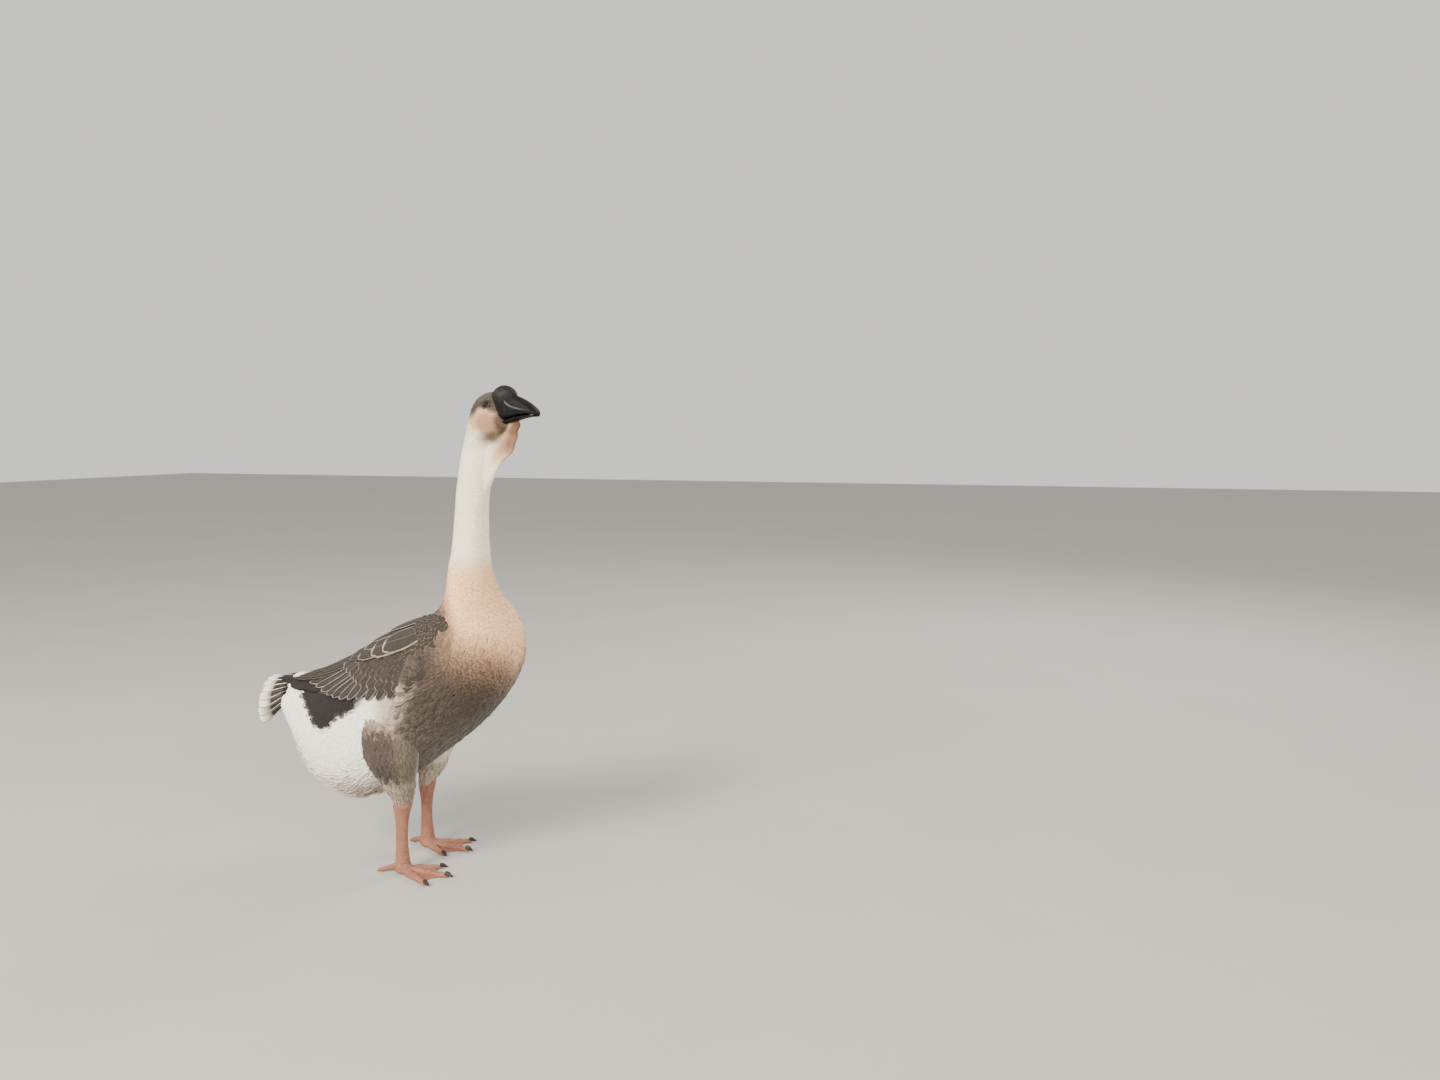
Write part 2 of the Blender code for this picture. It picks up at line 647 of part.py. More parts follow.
def core_height(a, b):
    """How far a wing's core stands off the body at a place of the wing's map."""
    (a_low, a_high), (b_low, b_high) = CORE_SPAN
    along = np.clip((a - a_low) / (a_high - a_low), 0, 1)
    across = np.clip((b - b_low) / (b_high - b_low), 0, 1)
    swell = np.sin(math.pi * (0.05 + 0.92 * along)) ** 0.4 * np.sin(math.pi * (0.07 + 0.86 * across)) ** 0.5
    return 0.0010 + WING_DEPTH * swell


def wing_vane(name, root, tip, half, height, roll, side):
    """One feather on a wing. It runs from root to tip over the wing's map, as a thin slab.

    Its centre line bends down a little, its root is sunk in the core and its tip stands at the
    given height. The roll lifts one edge, so that it lies over its neighbour's.
    """
    share, shape = np.array(VANE_SHAPE).T
    root, tip = np.array(root), np.array(tip)
    bend = np.array([0.0, 0.10 * (tip[1] - root[1])])
    path = root + share[:, None] * (tip - root) - (share * (1 - share))[:, None] * 4 * bend
    a, b = path[:, 0], path[:, 1]
    start = core_height(root[0], root[1]) - ROOT_SUNK
    level = start + (height - start) * np.sin(share * math.pi / 2) ** 0.8
    step = 1e-3
    zero = np.zeros_like(a)
    along_a = (wing_points(a + step, b, zero, side) - wing_points(a - step, b, zero, side)) / (2 * step)
    along_b = (wing_points(a, b + step, zero, side) - wing_points(a, b - step, zero, side)) / (2 * step)
    ahead = np.gradient(wing_points(a, b, zero, side), axis=0)
    ahead /= np.linalg.norm(ahead, axis=1, keepdims=True)
    normal = np.cross(along_a, along_b)
    normal /= np.linalg.norm(normal, axis=1, keepdims=True)
    across = np.cross(normal, ahead)
    sign = np.sign((across * along_b).sum(axis=1))[:, None]
    across *= sign
    rings = []
    tilt = math.sin(math.radians(roll))
    for i in range(len(share)):
        basis = np.stack([along_a[i], along_b[i]], axis=1)
        (da, db), *_ = np.linalg.lstsq(basis, across[i], rcond=None)
        reach = half * shape[i]
        ring = []
        for edge, face in ((-1, 1), (1, 1), (1, -1), (-1, -1)):
            lift = level[i] - edge * reach * tilt + face * VANE_THICK / 2
            at = wing_points(a[i] + edge * reach * da, b[i] + edge * reach * db, lift, side)
            ring.append(at)
        rings.append(ring)
    return solid(name, *tube(rings), "wing")


def wing_vanes(side):
    """All the feathers of a wing, row by row."""
    vanes = []
    for name, (count, first, last, back, half, heights, roll) in FEATHER_ROWS.items():
        for i in range(count):
            share = i / (count - 1)
            tip = (np.array(first) * (1 - share) + np.array(last) * share)
            root = tip - back
            height = heights[0] * (1 - share) + heights[1] * share
            vanes.append(wing_vane(name, root, tip, half, height, roll, side))
    return vanes


def make_wing(name, side):
    (a_low, a_high), (b_low, b_high) = CORE_SPAN
    along, across = np.linspace(a_low, a_high, WING_STEPS[0]), np.linspace(b_low, b_high, WING_STEPS[1])
    a, b = np.meshgrid(along, across, indexing="ij")
    outer = wing_points(a, b, core_height(a, b), side)
    inner = wing_points(a, b, -0.004, side)
    wing = solid(name, *shell(outer, inner), "wing")
    combine(wing, wing_vanes(side), "UNION")
    combine(wing, [body_cutter("body_cutter")], "DIFFERENCE")


def tail_vane(name, angle, root, tip, half, roll):
    """One tail feather: a thin slab that runs back from the core along the arch."""
    share, shape = np.array(VANE_SHAPE).T
    out = np.array([0, math.sin(angle), math.cos(angle)])
    across = np.array([0, math.cos(angle), -math.sin(angle)])
    ends = []
    for x, z, wide, high in (root, tip):
        ends.append(np.array([x, wide * math.sin(angle), z + high * math.cos(angle)]))
    rings = []
    tilt = math.tan(math.radians(roll))
    for u, size in zip(share, shape):
        centre = ends[0] + u * (ends[1] - ends[0]) + 0.003 * math.sin(math.pi * u) * out
        ring = []
        for edge, face in ((-1, 1), (1, 1), (1, -1), (-1, -1)):
            reach = edge * half * size
            ring.append(centre + reach * (across + tilt * out) + face * VANE_THICK / 2 * out)
        rings.append(ring)
    return solid(name, *tube(rings), "tail")


def make_tail():
    root = shifted_end(body_rings(TORSO_SPAN, TAIL_SIDES, 2), 0, GAP)[0]
    rings = [root]
    angles = np.arange(TAIL_SIDES) * 2 * math.pi / TAIL_SIDES
    for (x, z), height, width in TAIL_CORE:
        rings.append(
            np.stack([np.full(TAIL_SIDES, x), width * np.sin(angles), z + height * np.cos(angles)], axis=1)
        )
    tail = solid("tail", *tube(rings), "tail")
    vanes = []
    for name, (count, spread, root, tip, half, roll, shorter) in TAIL_ROWS.items():
        for i in range(count):
            out = 2 * i / (count - 1) - 1
            lift = -0.0006 * abs(out) * count / 2
            end = (tip[0] + shorter * abs(out) ** 0.6, tip[1], tip[2] + lift, tip[3] + lift)
            turn = -roll * np.sign(out)
            vanes.append(tail_vane(name, math.radians(spread) * out, root, end, half, turn))
    combine(tail, vanes, "UNION")


def leg_rings(rows, side, stride, sides=LEG_SIDES):
    """Rings of a leg part, flat and level, from rows of centre and half sizes."""
    angles = np.arange(sides) * 2 * math.pi / sides
    rings = []
    for (x, y, z), half_x, half_y in rows:
        ring = np.stack(
            [
                x + stride + half_x * np.cos(angles),
                side * (y + half_y * np.sin(angles)),
                np.full(sides, z),
            ],
            axis=1,
        )
        rings.append(ring)
    return np.array(rings)


def toe_rings(heading, length, half, height, knuckles):
    """Rings of one toe, lying on the floor from the ankle out, thicker at each knuckle."""
    right_half = ((0.70, 0.0), (1.0, 0.30), (0.84, 0.72), (0.36, 1.0))
    profile = right_half + tuple((-y, z) for y, z in reversed(right_half))
    rings = []
    for share in np.linspace(0, 1, TOE_STEPS):
        swell = sum(math.exp(-(((share - k) / 0.055) ** 2)) for k in knuckles)
        size = (1.15 - 0.55 * share) * (1 + 0.16 * swell)
        if share == 1:
            size *= 0.72
        ahead = share * length
        rings.append([(ahead, half * size * y, height * size * z) for y, z in profile])
    rings = np.array(rings)
    turn = math.radians(heading)
    x, y = rings[..., 0].copy(), rings[..., 1].copy()
    rings[..., 0] = x * math.cos(turn) - y * math.sin(turn)
    rings[..., 1] = x * math.sin(turn) + y * math.cos(turn)
    return rings


def claw_rings(heading, start, half, height):
    """Rings of a claw: a short hook that bends down from the toe's end to the floor."""
    rings = []
    for share, size in ((-0.35, 0.95), (0.25, 0.80), (0.70, 0.50), (1.0, 0.12)):
        ahead = start + share * CLAW_LENGTH
        middle = height * (0.62 - 0.40 * max(share, 0) ** 1.6)
        ring = []
        for step in range(6):
            angle = 2 * math.pi * (step + 0.5) / 6
            up = max(middle + 0.42 * height * size * math.sin(angle), WEB_LIFT)
            ring.append((ahead, 0.62 * half * size * math.cos(angle), up))
        rings.append(ring)
    rings = np.array(rings)
    turn = math.radians(heading)
    x, y = rings[..., 0].copy(), rings[..., 1].copy()
    rings[..., 0] = x * math.cos(turn) - y * math.sin(turn)
    rings[..., 1] = x * math.sin(turn) + y * math.cos(turn)
    return rings


def web_slab():
    """The web: two thin fans between the toes, with front edges that curve in."""
    names = ("inner", "middle", "outer")
    reach = {"inner": 0.92, "middle": 0.90, "outer": 0.90}
    outer_rows = []
    for first, second in zip(names, names[1:]):
        for share in np.linspace(0, 1, WEB_STEPS, endpoint=second == "outer"):
            heading = math.radians(TOES[first][0] * (1 - share) + TOES[second][0] * share)
            ends = TOES[first][1] * reach[first] * (1 - share) + TOES[second][1] * reach[second] * share
            span = ends * (1 - 0.16 * math.sin(math.pi * share) ** 0.8)
            ray = span * np.array([0.10, 0.4, 0.7, 1.0])
            outer_rows.append(np.stack([ray * math.cos(heading), ray * math.sin(heading)], axis=1))
    flat = np.array(outer_rows)
    top = np.concatenate([flat, np.full((*flat.shape[:2], 1), WEB_LIFT + WEB_THICK)], axis=2)
    low = np.concatenate([flat, np.full((*flat.shape[:2], 1), WEB_LIFT)], axis=2)
    return shell(top, low)


def hind_toe_rings():
    """Rings of the small hind toe, which points back and a little inwards, down to the floor."""
    rings = []
    for x, z, radius in ((0.0, 0.0090, 0.0062), *HIND_TOE):
        angles = np.arange(8) * 2 * math.pi / 8
        aside = -0.25 * x
        rings.append(
            np.stack(
                [
                    np.full(8, x),
                    aside + 0.85 * radius * np.cos(angles),
                    np.maximum(z + radius * np.sin(angles), 0),
                ],
                axis=1,
            )
        )
    return np.array(rings)


def make_foot(name, side):
    """One webbed foot, built about its ankle and then set under the shank."""
    angles = np.arange(LEG_SIDES) * 2 * math.pi / LEG_SIDES
    ankle_rings = []
    for (x, z), half_x, half_y in ANKLE_RINGS:
        ankle_rings.append(
            np.stack([x + half_x * np.cos(angles), half_y * np.sin(angles), np.full(LEG_SIDES, z)], axis=1)
        )
    foot = solid(name, *tube(ankle_rings), "leg")
    pieces = [solid("web", *web_slab(), "leg"), solid("hind", *tube(hind_toe_rings()), "leg")]
    for toe, (heading, length, half, height) in TOES.items():
        rings = toe_rings(heading, length, half, height, KNUCKLES[toe])
        pieces.append(solid("toe", *tube(rings), "leg"))
        pieces.append(solid("claw", *tube(claw_rings(heading, length, half, height)), "leg"))
    combine(foot, pieces, "UNION")
    mesh = foot.data
    points = np.array([v.co for v in mesh.vertices])
    top_x, top_y, _ = SHANK[-1][0]
    stride = LEG_STRIDE["left" if side > 0 else "right"]
    points[:, 0] += stride + top_x - ANKLE_RINGS[0][0][0]
    points[:, 1] = side * (points[:, 1] + top_y)
    mesh.vertices.foreach_set("co", points.ravel())
    if side < 0:
        mesh.flip_normals()
    mesh.update()


def make_leg(name, side):
    stride = LEG_STRIDE[name]
    thigh_rings = leg_rings(THIGH, side, 0.0)
    drift = np.linspace(0, 1, len(THIGH))[:, None] * stride
    thigh_rings[..., 0] += drift
    thigh = solid(f"thigh_{name}", *tube(thigh_rings), "thigh")
    combine(thigh, [body_cutter("body_cutter")], "DIFFERENCE")
    solid(f"shank_{name}", *tube(leg_rings(SHANK, side, stride)), "leg")
    make_foot(f"foot_{name}", side)


def all_points():
    return np.concatenate([np.array([v.co for v in thing.data.vertices]) for thing in bpy.data.objects])


def centre_on_floor():
    """Shifts every part so that the origin is the bottom centre of the whole goose's box."""
    points = all_points()
    low, high = points.min(axis=0), points.max(axis=0)
    shift = np.array([(low[0] + high[0]) / 2, (low[1] + high[1]) / 2, low[2]])
    for thing in bpy.data.objects:
        mesh = thing.data
        moved = np.array([v.co for v in mesh.vertices]) - shift
        mesh.vertices.foreach_set("co", moved.ravel())
        mesh.update()


def finish_parts():
    """Shades the round parts smooth, with sharp edges kept."""
    for thing in bpy.data.objects:
        thing.data.shade_smooth()
        thing.data.set_sharp_from_angle(angle=math.radians(40))


def main():
    for thing in list(bpy.data.objects):
        bpy.data.objects.remove(thing)
    make_torso()
    make_neck()
    make_head()
    make_bill()
    turned = ("neck", "head", "knob", "bill_upper", "bill_lower", "eye_left", "eye_right")
    turn_head([bpy.data.objects[name] for name in turned])
    make_tail()
    for name, side in (("left", 1), ("right", -1)):
        make_wing(f"wing_{name}", side)
        make_leg(name, side)
    centre_on_floor()
    finish_parts()


main()
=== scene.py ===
import math

import bpy
import numpy as np
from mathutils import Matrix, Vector
from mathutils.bvhtree import BVHTree
from mathutils.kdtree import KDTree


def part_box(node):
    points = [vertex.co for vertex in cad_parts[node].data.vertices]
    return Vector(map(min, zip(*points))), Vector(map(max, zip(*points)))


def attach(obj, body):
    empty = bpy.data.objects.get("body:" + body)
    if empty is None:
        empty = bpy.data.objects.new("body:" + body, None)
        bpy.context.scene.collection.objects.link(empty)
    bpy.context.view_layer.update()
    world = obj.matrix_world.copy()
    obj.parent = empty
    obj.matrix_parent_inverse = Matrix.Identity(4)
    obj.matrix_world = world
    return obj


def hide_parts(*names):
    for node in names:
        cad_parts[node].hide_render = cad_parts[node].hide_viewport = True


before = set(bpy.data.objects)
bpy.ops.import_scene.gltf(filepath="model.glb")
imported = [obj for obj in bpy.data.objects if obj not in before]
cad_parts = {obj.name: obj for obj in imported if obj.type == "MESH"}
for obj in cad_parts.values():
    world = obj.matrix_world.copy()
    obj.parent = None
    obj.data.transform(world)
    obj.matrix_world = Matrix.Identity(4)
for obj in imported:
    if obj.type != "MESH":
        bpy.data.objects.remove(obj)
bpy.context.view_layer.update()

print("frame loaded:", len(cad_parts), "nodes")

# The goose faces +X and its left side is +Y. The body line below is written with x = 0 between
# the ankles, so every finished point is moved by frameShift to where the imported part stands.
shankLow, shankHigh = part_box("shank_right")
shankMiddle = 0.0150  # x of the right shank's middle in the body line's own measure
frameShift = np.array([(shankLow[0] + shankHigh[0]) / 2 - shankMiddle, 0.0, 0.0])

# Each station of the body: back or top edge (x, z), front or bottom edge (x, z) and half width.
bodyStations = {
    "tailRoot": ((-0.262, 0.310), (-0.267, 0.254), 0.040),
    "rump": ((-0.225, 0.317), (-0.233, 0.211), 0.060),
    "vent": ((-0.180, 0.331), (-0.200, 0.161), 0.076),
    "abdomen": ((-0.125, 0.359), (-0.156, 0.123), 0.091),
    "loins": ((-0.065, 0.391), (-0.100, 0.109), 0.101),
    "midBack": ((-0.010, 0.421), (-0.030, 0.136), 0.106),
    "belly": ((0.040, 0.446), (0.045, 0.188), 0.107),
    "keel": ((0.066, 0.464), (0.123, 0.248), 0.104),
    "breast": ((0.0765, 0.479), (0.178, 0.306), 0.099),
    "crop": ((0.0805, 0.495), (0.208, 0.364), 0.090),
    "shoulder": ((0.0820, 0.511), (0.206, 0.415), 0.077),
    "neckRoot": ((0.0815, 0.529), (0.175, 0.461), 0.060),
    "lowerNeck": ((0.0825, 0.551), (0.1585, 0.500), 0.046),
    "neckBend": ((0.0850, 0.577), (0.1510, 0.541), 0.036),
    "midNeck": ((0.0885, 0.622), (0.1475, 0.601), 0.0315),
    "upperNeck": ((0.0915, 0.671), (0.1490, 0.661), 0.0290),
    "neckTop": ((0.098, 0.722), (0.157, 0.716), 0.0275),
    "throat": ((0.108, 0.760), (0.166, 0.752), 0.0280),
    "nape": ((0.1140, 0.782), (0.177, 0.765), 0.0295),
    "hindCheek": ((0.1200, 0.8020), (0.187, 0.773), 0.0310),
    "cheek": ((0.1265, 0.8215), (0.194, 0.778), 0.0315),
    "eye": ((0.1370, 0.8365), (0.199, 0.780), 0.0305),
    "brow": ((0.1530, 0.8455), (0.203, 0.782), 0.0270),
    "face": ((0.1690, 0.8480), (0.2065, 0.784), 0.0215),
}
stationNames = list(bodyStations)
at = {name: float(place) for place, name in enumerate(stationNames)}
stationRows = np.array([(*back, *front, width) for back, front, width in bodyStations.values()])
eggShare = 0.10
headYaw = math.radians(-12)
yawStarts, yawEnds, yawAxisX = 0.60, 0.77, 0.125

# The dewlap is a fold of the front line: how far it runs out (x, z) at each station of the head.
dewlapLook = {
    "reach": {
        "neckTop": (0.0230, 0.0005),
        "throat": (0.0425, -0.0110),
        "nape": (0.0415, -0.0085),
        "hindCheek": (0.0340, -0.0050),
        "cheek": (0.0285, -0.0020),
        "eye": (0.0265, 0.0030),
        "brow": (0.0250, 0.0080),
        "face": (0.0205, 0.0120),
    },
    "spread": 0.30,  # radians from the front line to where the fold is about a third as far out
    "blunt": 2.6,
    "sway": 0.0016,
    "waves": 2.7,
}
dewlapRows = np.array([dewlapLook["reach"].get(name, (0.0, 0.0)) for name in stationNames])


def smoothRows(rows, places):
    # a Catmull-Rom curve through the rows, read at the places (row numbers with fractions)
    rows = np.asarray(rows, float)
    places = np.asarray(places, float)
    ends = np.vstack([2 * rows[0] - rows[1], rows, 2 * rows[-1] - rows[-2]])
    first = np.clip(np.floor(places).astype(int), 0, len(rows) - 2)
    t = (places - first)[..., None]
    p0, p1, p2, p3 = (ends[first + k] for k in range(4))
    return 0.5 * (
        2 * p1 + (p2 - p0) * t + (2 * p0 - 5 * p1 + 4 * p2 - p3) * t**2
        + (3 * p1 - p0 - 3 * p2 + p3) * t**3
    )


def foldShare(phi):
    # 1 on the front line, and falling off to either side as exp(-(angle / spread) ** blunt)
    away = np.abs(np.mod(phi, 2 * math.pi) - math.pi)
    return np.exp(-((away / dewlapLook["spread"]) ** dewlapLook["blunt"]))


def bodyPoint(s, phi):
    # middle of the section plus cos(phi) times its half height, and sin(phi) times its half width,
    # and on the head's front line the dewlap's fold, which sways a little from side to side
    s, phi = np.broadcast_arrays(np.asarray(s, float), np.asarray(phi, float))
    row = smoothRows(stationRows, s)
    back, front, width = row[..., 0:2], row[..., 2:4], row[..., 4]
    middle, half = (back + front) / 2, (back - front) / 2
    onTorso = np.clip((at["neckRoot"] - s) / 4, 0, 1)
    inPlane = middle + np.cos(phi)[..., None] * half
    aside = np.sin(phi) * width * (1 - eggShare * onTorso * np.cos(phi))
    fold, out = foldShare(phi), smoothRows(dewlapRows, s)
    inPlane = inPlane + fold[..., None] * out
    swayShare = np.linalg.norm(out, axis=-1) / 0.04
    aside = aside + dewlapLook["sway"] * np.sin(dewlapLook["waves"] * s) * fold**2 * swayShare
    return np.stack([inPlane[..., 0], aside, inPlane[..., 1]], axis=-1)


def bodySurface(s, phi, height):
    # the body's point moved out along its normal, which comes from small steps both ways
    s, phi, height = np.broadcast_arrays(*(np.asarray(v, float) for v in (s, phi, height)))
    step = 1e-3
    along = bodyPoint(s + step, phi) - bodyPoint(s - step, phi)
    around = bodyPoint(s, phi + step) - bodyPoint(s, phi - step)
    normal = np.cross(along, around)
    normal /= np.linalg.norm(normal, axis=-1, keepdims=True) + 1e-12
    return bodyPoint(s, phi) + height[..., None] * normal


def placed(points):
    # turns what lies above the turn's start about the neck's axis, then moves all to the frame
    points = np.array(points, float)
    share = np.clip((points[..., 2] - yawStarts) / (yawEnds - yawStarts), 0, 1)
    yaw = headYaw * share * share * (3 - 2 * share)
    x, y = points[..., 0] - yawAxisX, points[..., 1].copy()
    points[..., 0] = yawAxisX + x * np.cos(yaw) - y * np.sin(yaw)
    points[..., 1] = x * np.sin(yaw) + y * np.cos(yaw)
    return points + frameShift


def blendStep(low, high, value):
    # 0 below low, 1 above high, and a smooth rise between
    t = np.clip((np.asarray(value, float) - low) / (high - low), 0, 1)
    return t * t * (3 - 2 * t)


# The camera: the photograph's viewing angle, from in front of the goose and to its right.
cameraLook = {
    "distance": 1.97,  # from the camera to the ankles along the view
    "aside": 0.556,  # how far the ankles lie left of the middle of the picture
    "height": 0.78,
    "heading": 18.0,  # degrees the view is turned from +Y
    "horizon": 110 / 1440,  # how far the horizon lies above the picture's middle, in widths
    "lens": 27.03,
    "sensor": 36.0,
}


def makeCamera():
    b = math.radians(cameraLook["heading"])
    ahead = np.array([-math.sin(b), math.cos(b), 0.0])
    right = np.array([math.cos(b), math.sin(b), 0.0])
    spot = frameShift - cameraLook["distance"] * ahead + cameraLook["aside"] * right
    data = bpy.data.cameras.new("camera")
    data.lens, data.sensor_width = cameraLook["lens"], cameraLook["sensor"]
    data.shift_y = -cameraLook["horizon"]
    data.clip_start, data.clip_end = 0.02, 60
    camera = bpy.data.objects.new("camera", data)
    camera.location = (spot[0], spot[1], cameraLook["height"])
    camera.rotation_euler = (math.pi / 2, 0, b)
    bpy.context.scene.collection.objects.link(camera)
    bpy.context.scene.camera = camera


makeCamera()


# Shader helpers. node() adds a node and sets its fields, and link() joins two sockets.
def node(tree, kind, **fields):
    made = tree.nodes.new(kind)
    for name, value in fields.items():
        setattr(made, name, value)
    return made


def link(tree, a, b):
    tree.links.new(a, b)


def newGroup(name, inputs, outputs):
    group = bpy.data.node_groups.new(name, "ShaderNodeTree")
    for label, kind, value in inputs:
        socket = group.interface.new_socket(name=label, in_out="INPUT", socket_type=kind)
        if value is not None:
            socket.default_value = value
    for label, kind in outputs:
        group.interface.new_socket(name=label, in_out="OUTPUT", socket_type=kind)
    start = group.nodes.new("NodeGroupInput")
    end = group.nodes.new("NodeGroupOutput")
    return group, start, end


def maths(tree, operation, a, b=None, c=None):
    # a Math node with numbers or sockets as its inputs
    made = node(tree, "ShaderNodeMath", operation=operation)
    for slotNumber, value in enumerate((a, b, c)):
        if value is None:
            continue
        if isinstance(value, (int, float)):
            made.inputs[slotNumber].default_value = value
        else:
            link(tree, value, made.inputs[slotNumber])
    return made.outputs[0]


def ramp(tree, value, low, high):
    # a smooth 0 to 1 rise of the value between low and high
    made = node(tree, "ShaderNodeMapRange", interpolation_type="SMOOTHSTEP")
    link(tree, value, made.inputs["Value"])
    made.inputs["From Min"].default_value = low
    made.inputs["From Max"].default_value = high
    return made.outputs["Result"]


def mixColour(tree, factor, a, b):
    made = node(tree, "ShaderNodeMix", data_type="RGBA")
    for socket, value in ((made.inputs[0], factor), (made.inputs[6], a), (made.inputs[7], b)):
        if isinstance(value, (int, float)):
            socket.default_value = value
        elif isinstance(value, tuple):
            socket.default_value = (*value, 1.0)
        else:
            link(tree, value, socket)
    return made.outputs[2]


def featherGroup():
    # Feather markings from the feather's own UV: x runs 0 to 1 across it and y from root to tip.
    # The rim is where the larger of the distance aside and the nearness to the tip is close to 1.
    group, start, end = newGroup(
        "featherMarks",
        [
            ("Base", "NodeSocketColor", (0.3, 0.25, 0.2, 1)),
            ("Edge", "NodeSocketColor", (0.7, 0.65, 0.6, 1)),
            ("Rim Width", "NodeSocketFloat", 0.14),
            ("Tip Sharpness", "NodeSocketFloat", 1.6),
            ("Barbs", "NodeSocketFloat", 60.0),
            ("Shaft Width", "NodeSocketFloat", 0.035),
            ("Contrast", "NodeSocketFloat", 0.35),
        ],
        [("Color", "NodeSocketColor"), ("Height", "NodeSocketFloat")],
    )
    uv = node(group, "ShaderNodeUVMap", uv_map="featherUv")
    parts = node(group, "ShaderNodeSeparateXYZ")
    link(group, uv.outputs[0], parts.inputs[0])
    across, along = parts.outputs[0], parts.outputs[1]
    aside = maths(group, "ABSOLUTE", maths(group, "MULTIPLY_ADD", across, 2.0, -1.0))
    tilted = maths(group, "MULTIPLY_ADD", aside, -0.55, along)
    barbPlace = node(group, "ShaderNodeCombineXYZ")
    link(group, maths(group, "MULTIPLY", tilted, start.outputs["Barbs"]), barbPlace.inputs[0])
    link(group, maths(group, "MULTIPLY", across, 2.2), barbPlace.inputs[1])
    spot = node(group, "ShaderNodeTexCoord")
    far = node(group, "ShaderNodeVectorMath", operation="MULTIPLY_ADD")
    link(group, spot.outputs["Object"], far.inputs[0])
    far.inputs[1].default_value = (9, 9, 9)
    link(group, barbPlace.outputs[0], far.inputs[2])
    barbs = node(group, "ShaderNodeTexNoise", noise_dimensions="3D")
    link(group, far.outputs[0], barbs.inputs["Vector"])
    barbs.inputs["Scale"].default_value = 1.0
    barbs.inputs["Detail"].default_value = 3.0
    ragged = maths(group, "MULTIPLY_ADD", barbs.outputs["Fac"], 0.16, -0.08)
    sideRim = maths(group, "ADD", aside, ragged)
    beforeTip = maths(group, "MULTIPLY", maths(group, "SUBTRACT", 1.0, along), start.outputs["Tip Sharpness"])
    tipRim = maths(group, "ADD", maths(group, "SUBTRACT", 1.0, beforeTip), ragged)
    outer = maths(group, "SMOOTH_MAX", sideRim, tipRim, 0.25)
    inner = maths(group, "SUBTRACT", 1.0, maths(group, "MULTIPLY", start.outputs["Rim Width"], 1.35))
    rimSpan = maths(group, "MULTIPLY", start.outputs["Rim Width"], 0.6)
    rim = ramp(group, maths(group, "DIVIDE", maths(group, "SUBTRACT", outer, inner), rimSpan), 0.0, 1.0)
    streak = ramp(group, barbs.outputs["Fac"], 0.25, 0.75)
    dark = node(group, "ShaderNodeMix", data_type="RGBA", blend_type="MULTIPLY")
    link(group, start.outputs["Contrast"], dark.inputs[0])
    shade = mixColour(group, streak, (0.62, 0.60, 0.58), (1.18, 1.17, 1.16))
    link(group, start.outputs["Base"], dark.inputs[6])
    link(group, shade, dark.inputs[7])
    shaftOff = maths(group, "DIVIDE", aside, start.outputs["Shaft Width"])
    shaft = maths(group, "SUBTRACT", 1.0, ramp(group, shaftOff, 0.4, 1.0))
    shaftShare = maths(group, "MULTIPLY", shaft, 0.15)
    shaftColour = mixColour(group, shaftShare, dark.outputs[2], start.outputs["Edge"])
    edged = mixColour(group, rim, shaftColour, start.outputs["Edge"])
    link(group, edged, end.inputs["Color"])
    height = maths(group, "ADD", maths(group, "MULTIPLY", streak, 0.5), shaft)
    link(group, height, end.inputs["Height"])
    return group


def mottleGroup():
    # Soft blotches, read from Object coordinates, that darken and lighten a colour.
    group, start, end = newGroup(
        "mottle",
        [
            ("Color", "NodeSocketColor", (0.5, 0.5, 0.5, 1)),
            ("Scale", "NodeSocketFloat", 40.0),
            ("Amount", "NodeSocketFloat", 0.3),
            ("Stretch", "NodeSocketVector", (1, 1, 1)),
        ],
        [("Color", "NodeSocketColor"), ("Height", "NodeSocketFloat")],
    )
    spot = node(group, "ShaderNodeTexCoord")
    stretched = node(group, "ShaderNodeVectorMath", operation="MULTIPLY")
    link(group, spot.outputs["Object"], stretched.inputs[0])
    link(group, start.outputs["Stretch"], stretched.inputs[1])
    noise = node(group, "ShaderNodeTexNoise")
    link(group, stretched.outputs[0], noise.inputs["Vector"])
    link(group, start.outputs["Scale"], noise.inputs["Scale"])
    noise.inputs["Detail"].default_value = 6.0
    noise.inputs["Roughness"].default_value = 0.6
    level = ramp(group, noise.outputs["Fac"], 0.3, 0.7)
    shade = mixColour(group, level, (0.55, 0.53, 0.52), (1.25, 1.24, 1.22))
    mixed = node(group, "ShaderNodeMix", data_type="RGBA", blend_type="MULTIPLY")
    link(group, start.outputs["Amount"], mixed.inputs[0])
    link(group, start.outputs["Color"], mixed.inputs[6])
    link(group, shade, mixed.inputs[7])
    link(group, mixed.outputs[2], end.inputs["Color"])
    link(group, noise.outputs["Fac"], end.inputs["Height"])
    return group


marksGroup, blotchGroup = featherGroup(), mottleGroup()


def newMaterial(name, roughness=0.7, specular=0.35, sheen=0.0, coat=0.0):
    material = bpy.data.materials.new(name)
    material.use_nodes = True
    tree = material.node_tree
    shader = tree.nodes["Principled BSDF"]
    shader.inputs["Roughness"].default_value = roughness
    shader.inputs["Specular IOR Level"].default_value = specular
    shader.inputs["Sheen Weight"].default_value = sheen
    shader.inputs["Coat Weight"].default_value = coat
    return material, tree, shader


def bumpInto(tree, shader, height, strength, distance):
    bump = node(tree, "ShaderNodeBump")
    bump.inputs["Strength"].default_value = strength
    bump.inputs["Distance"].default_value = distance
    link(tree, height, bump.inputs["Height"])
    link(tree, bump.outputs[0], shader.inputs["Normal"])


barbDepth = 0.0004


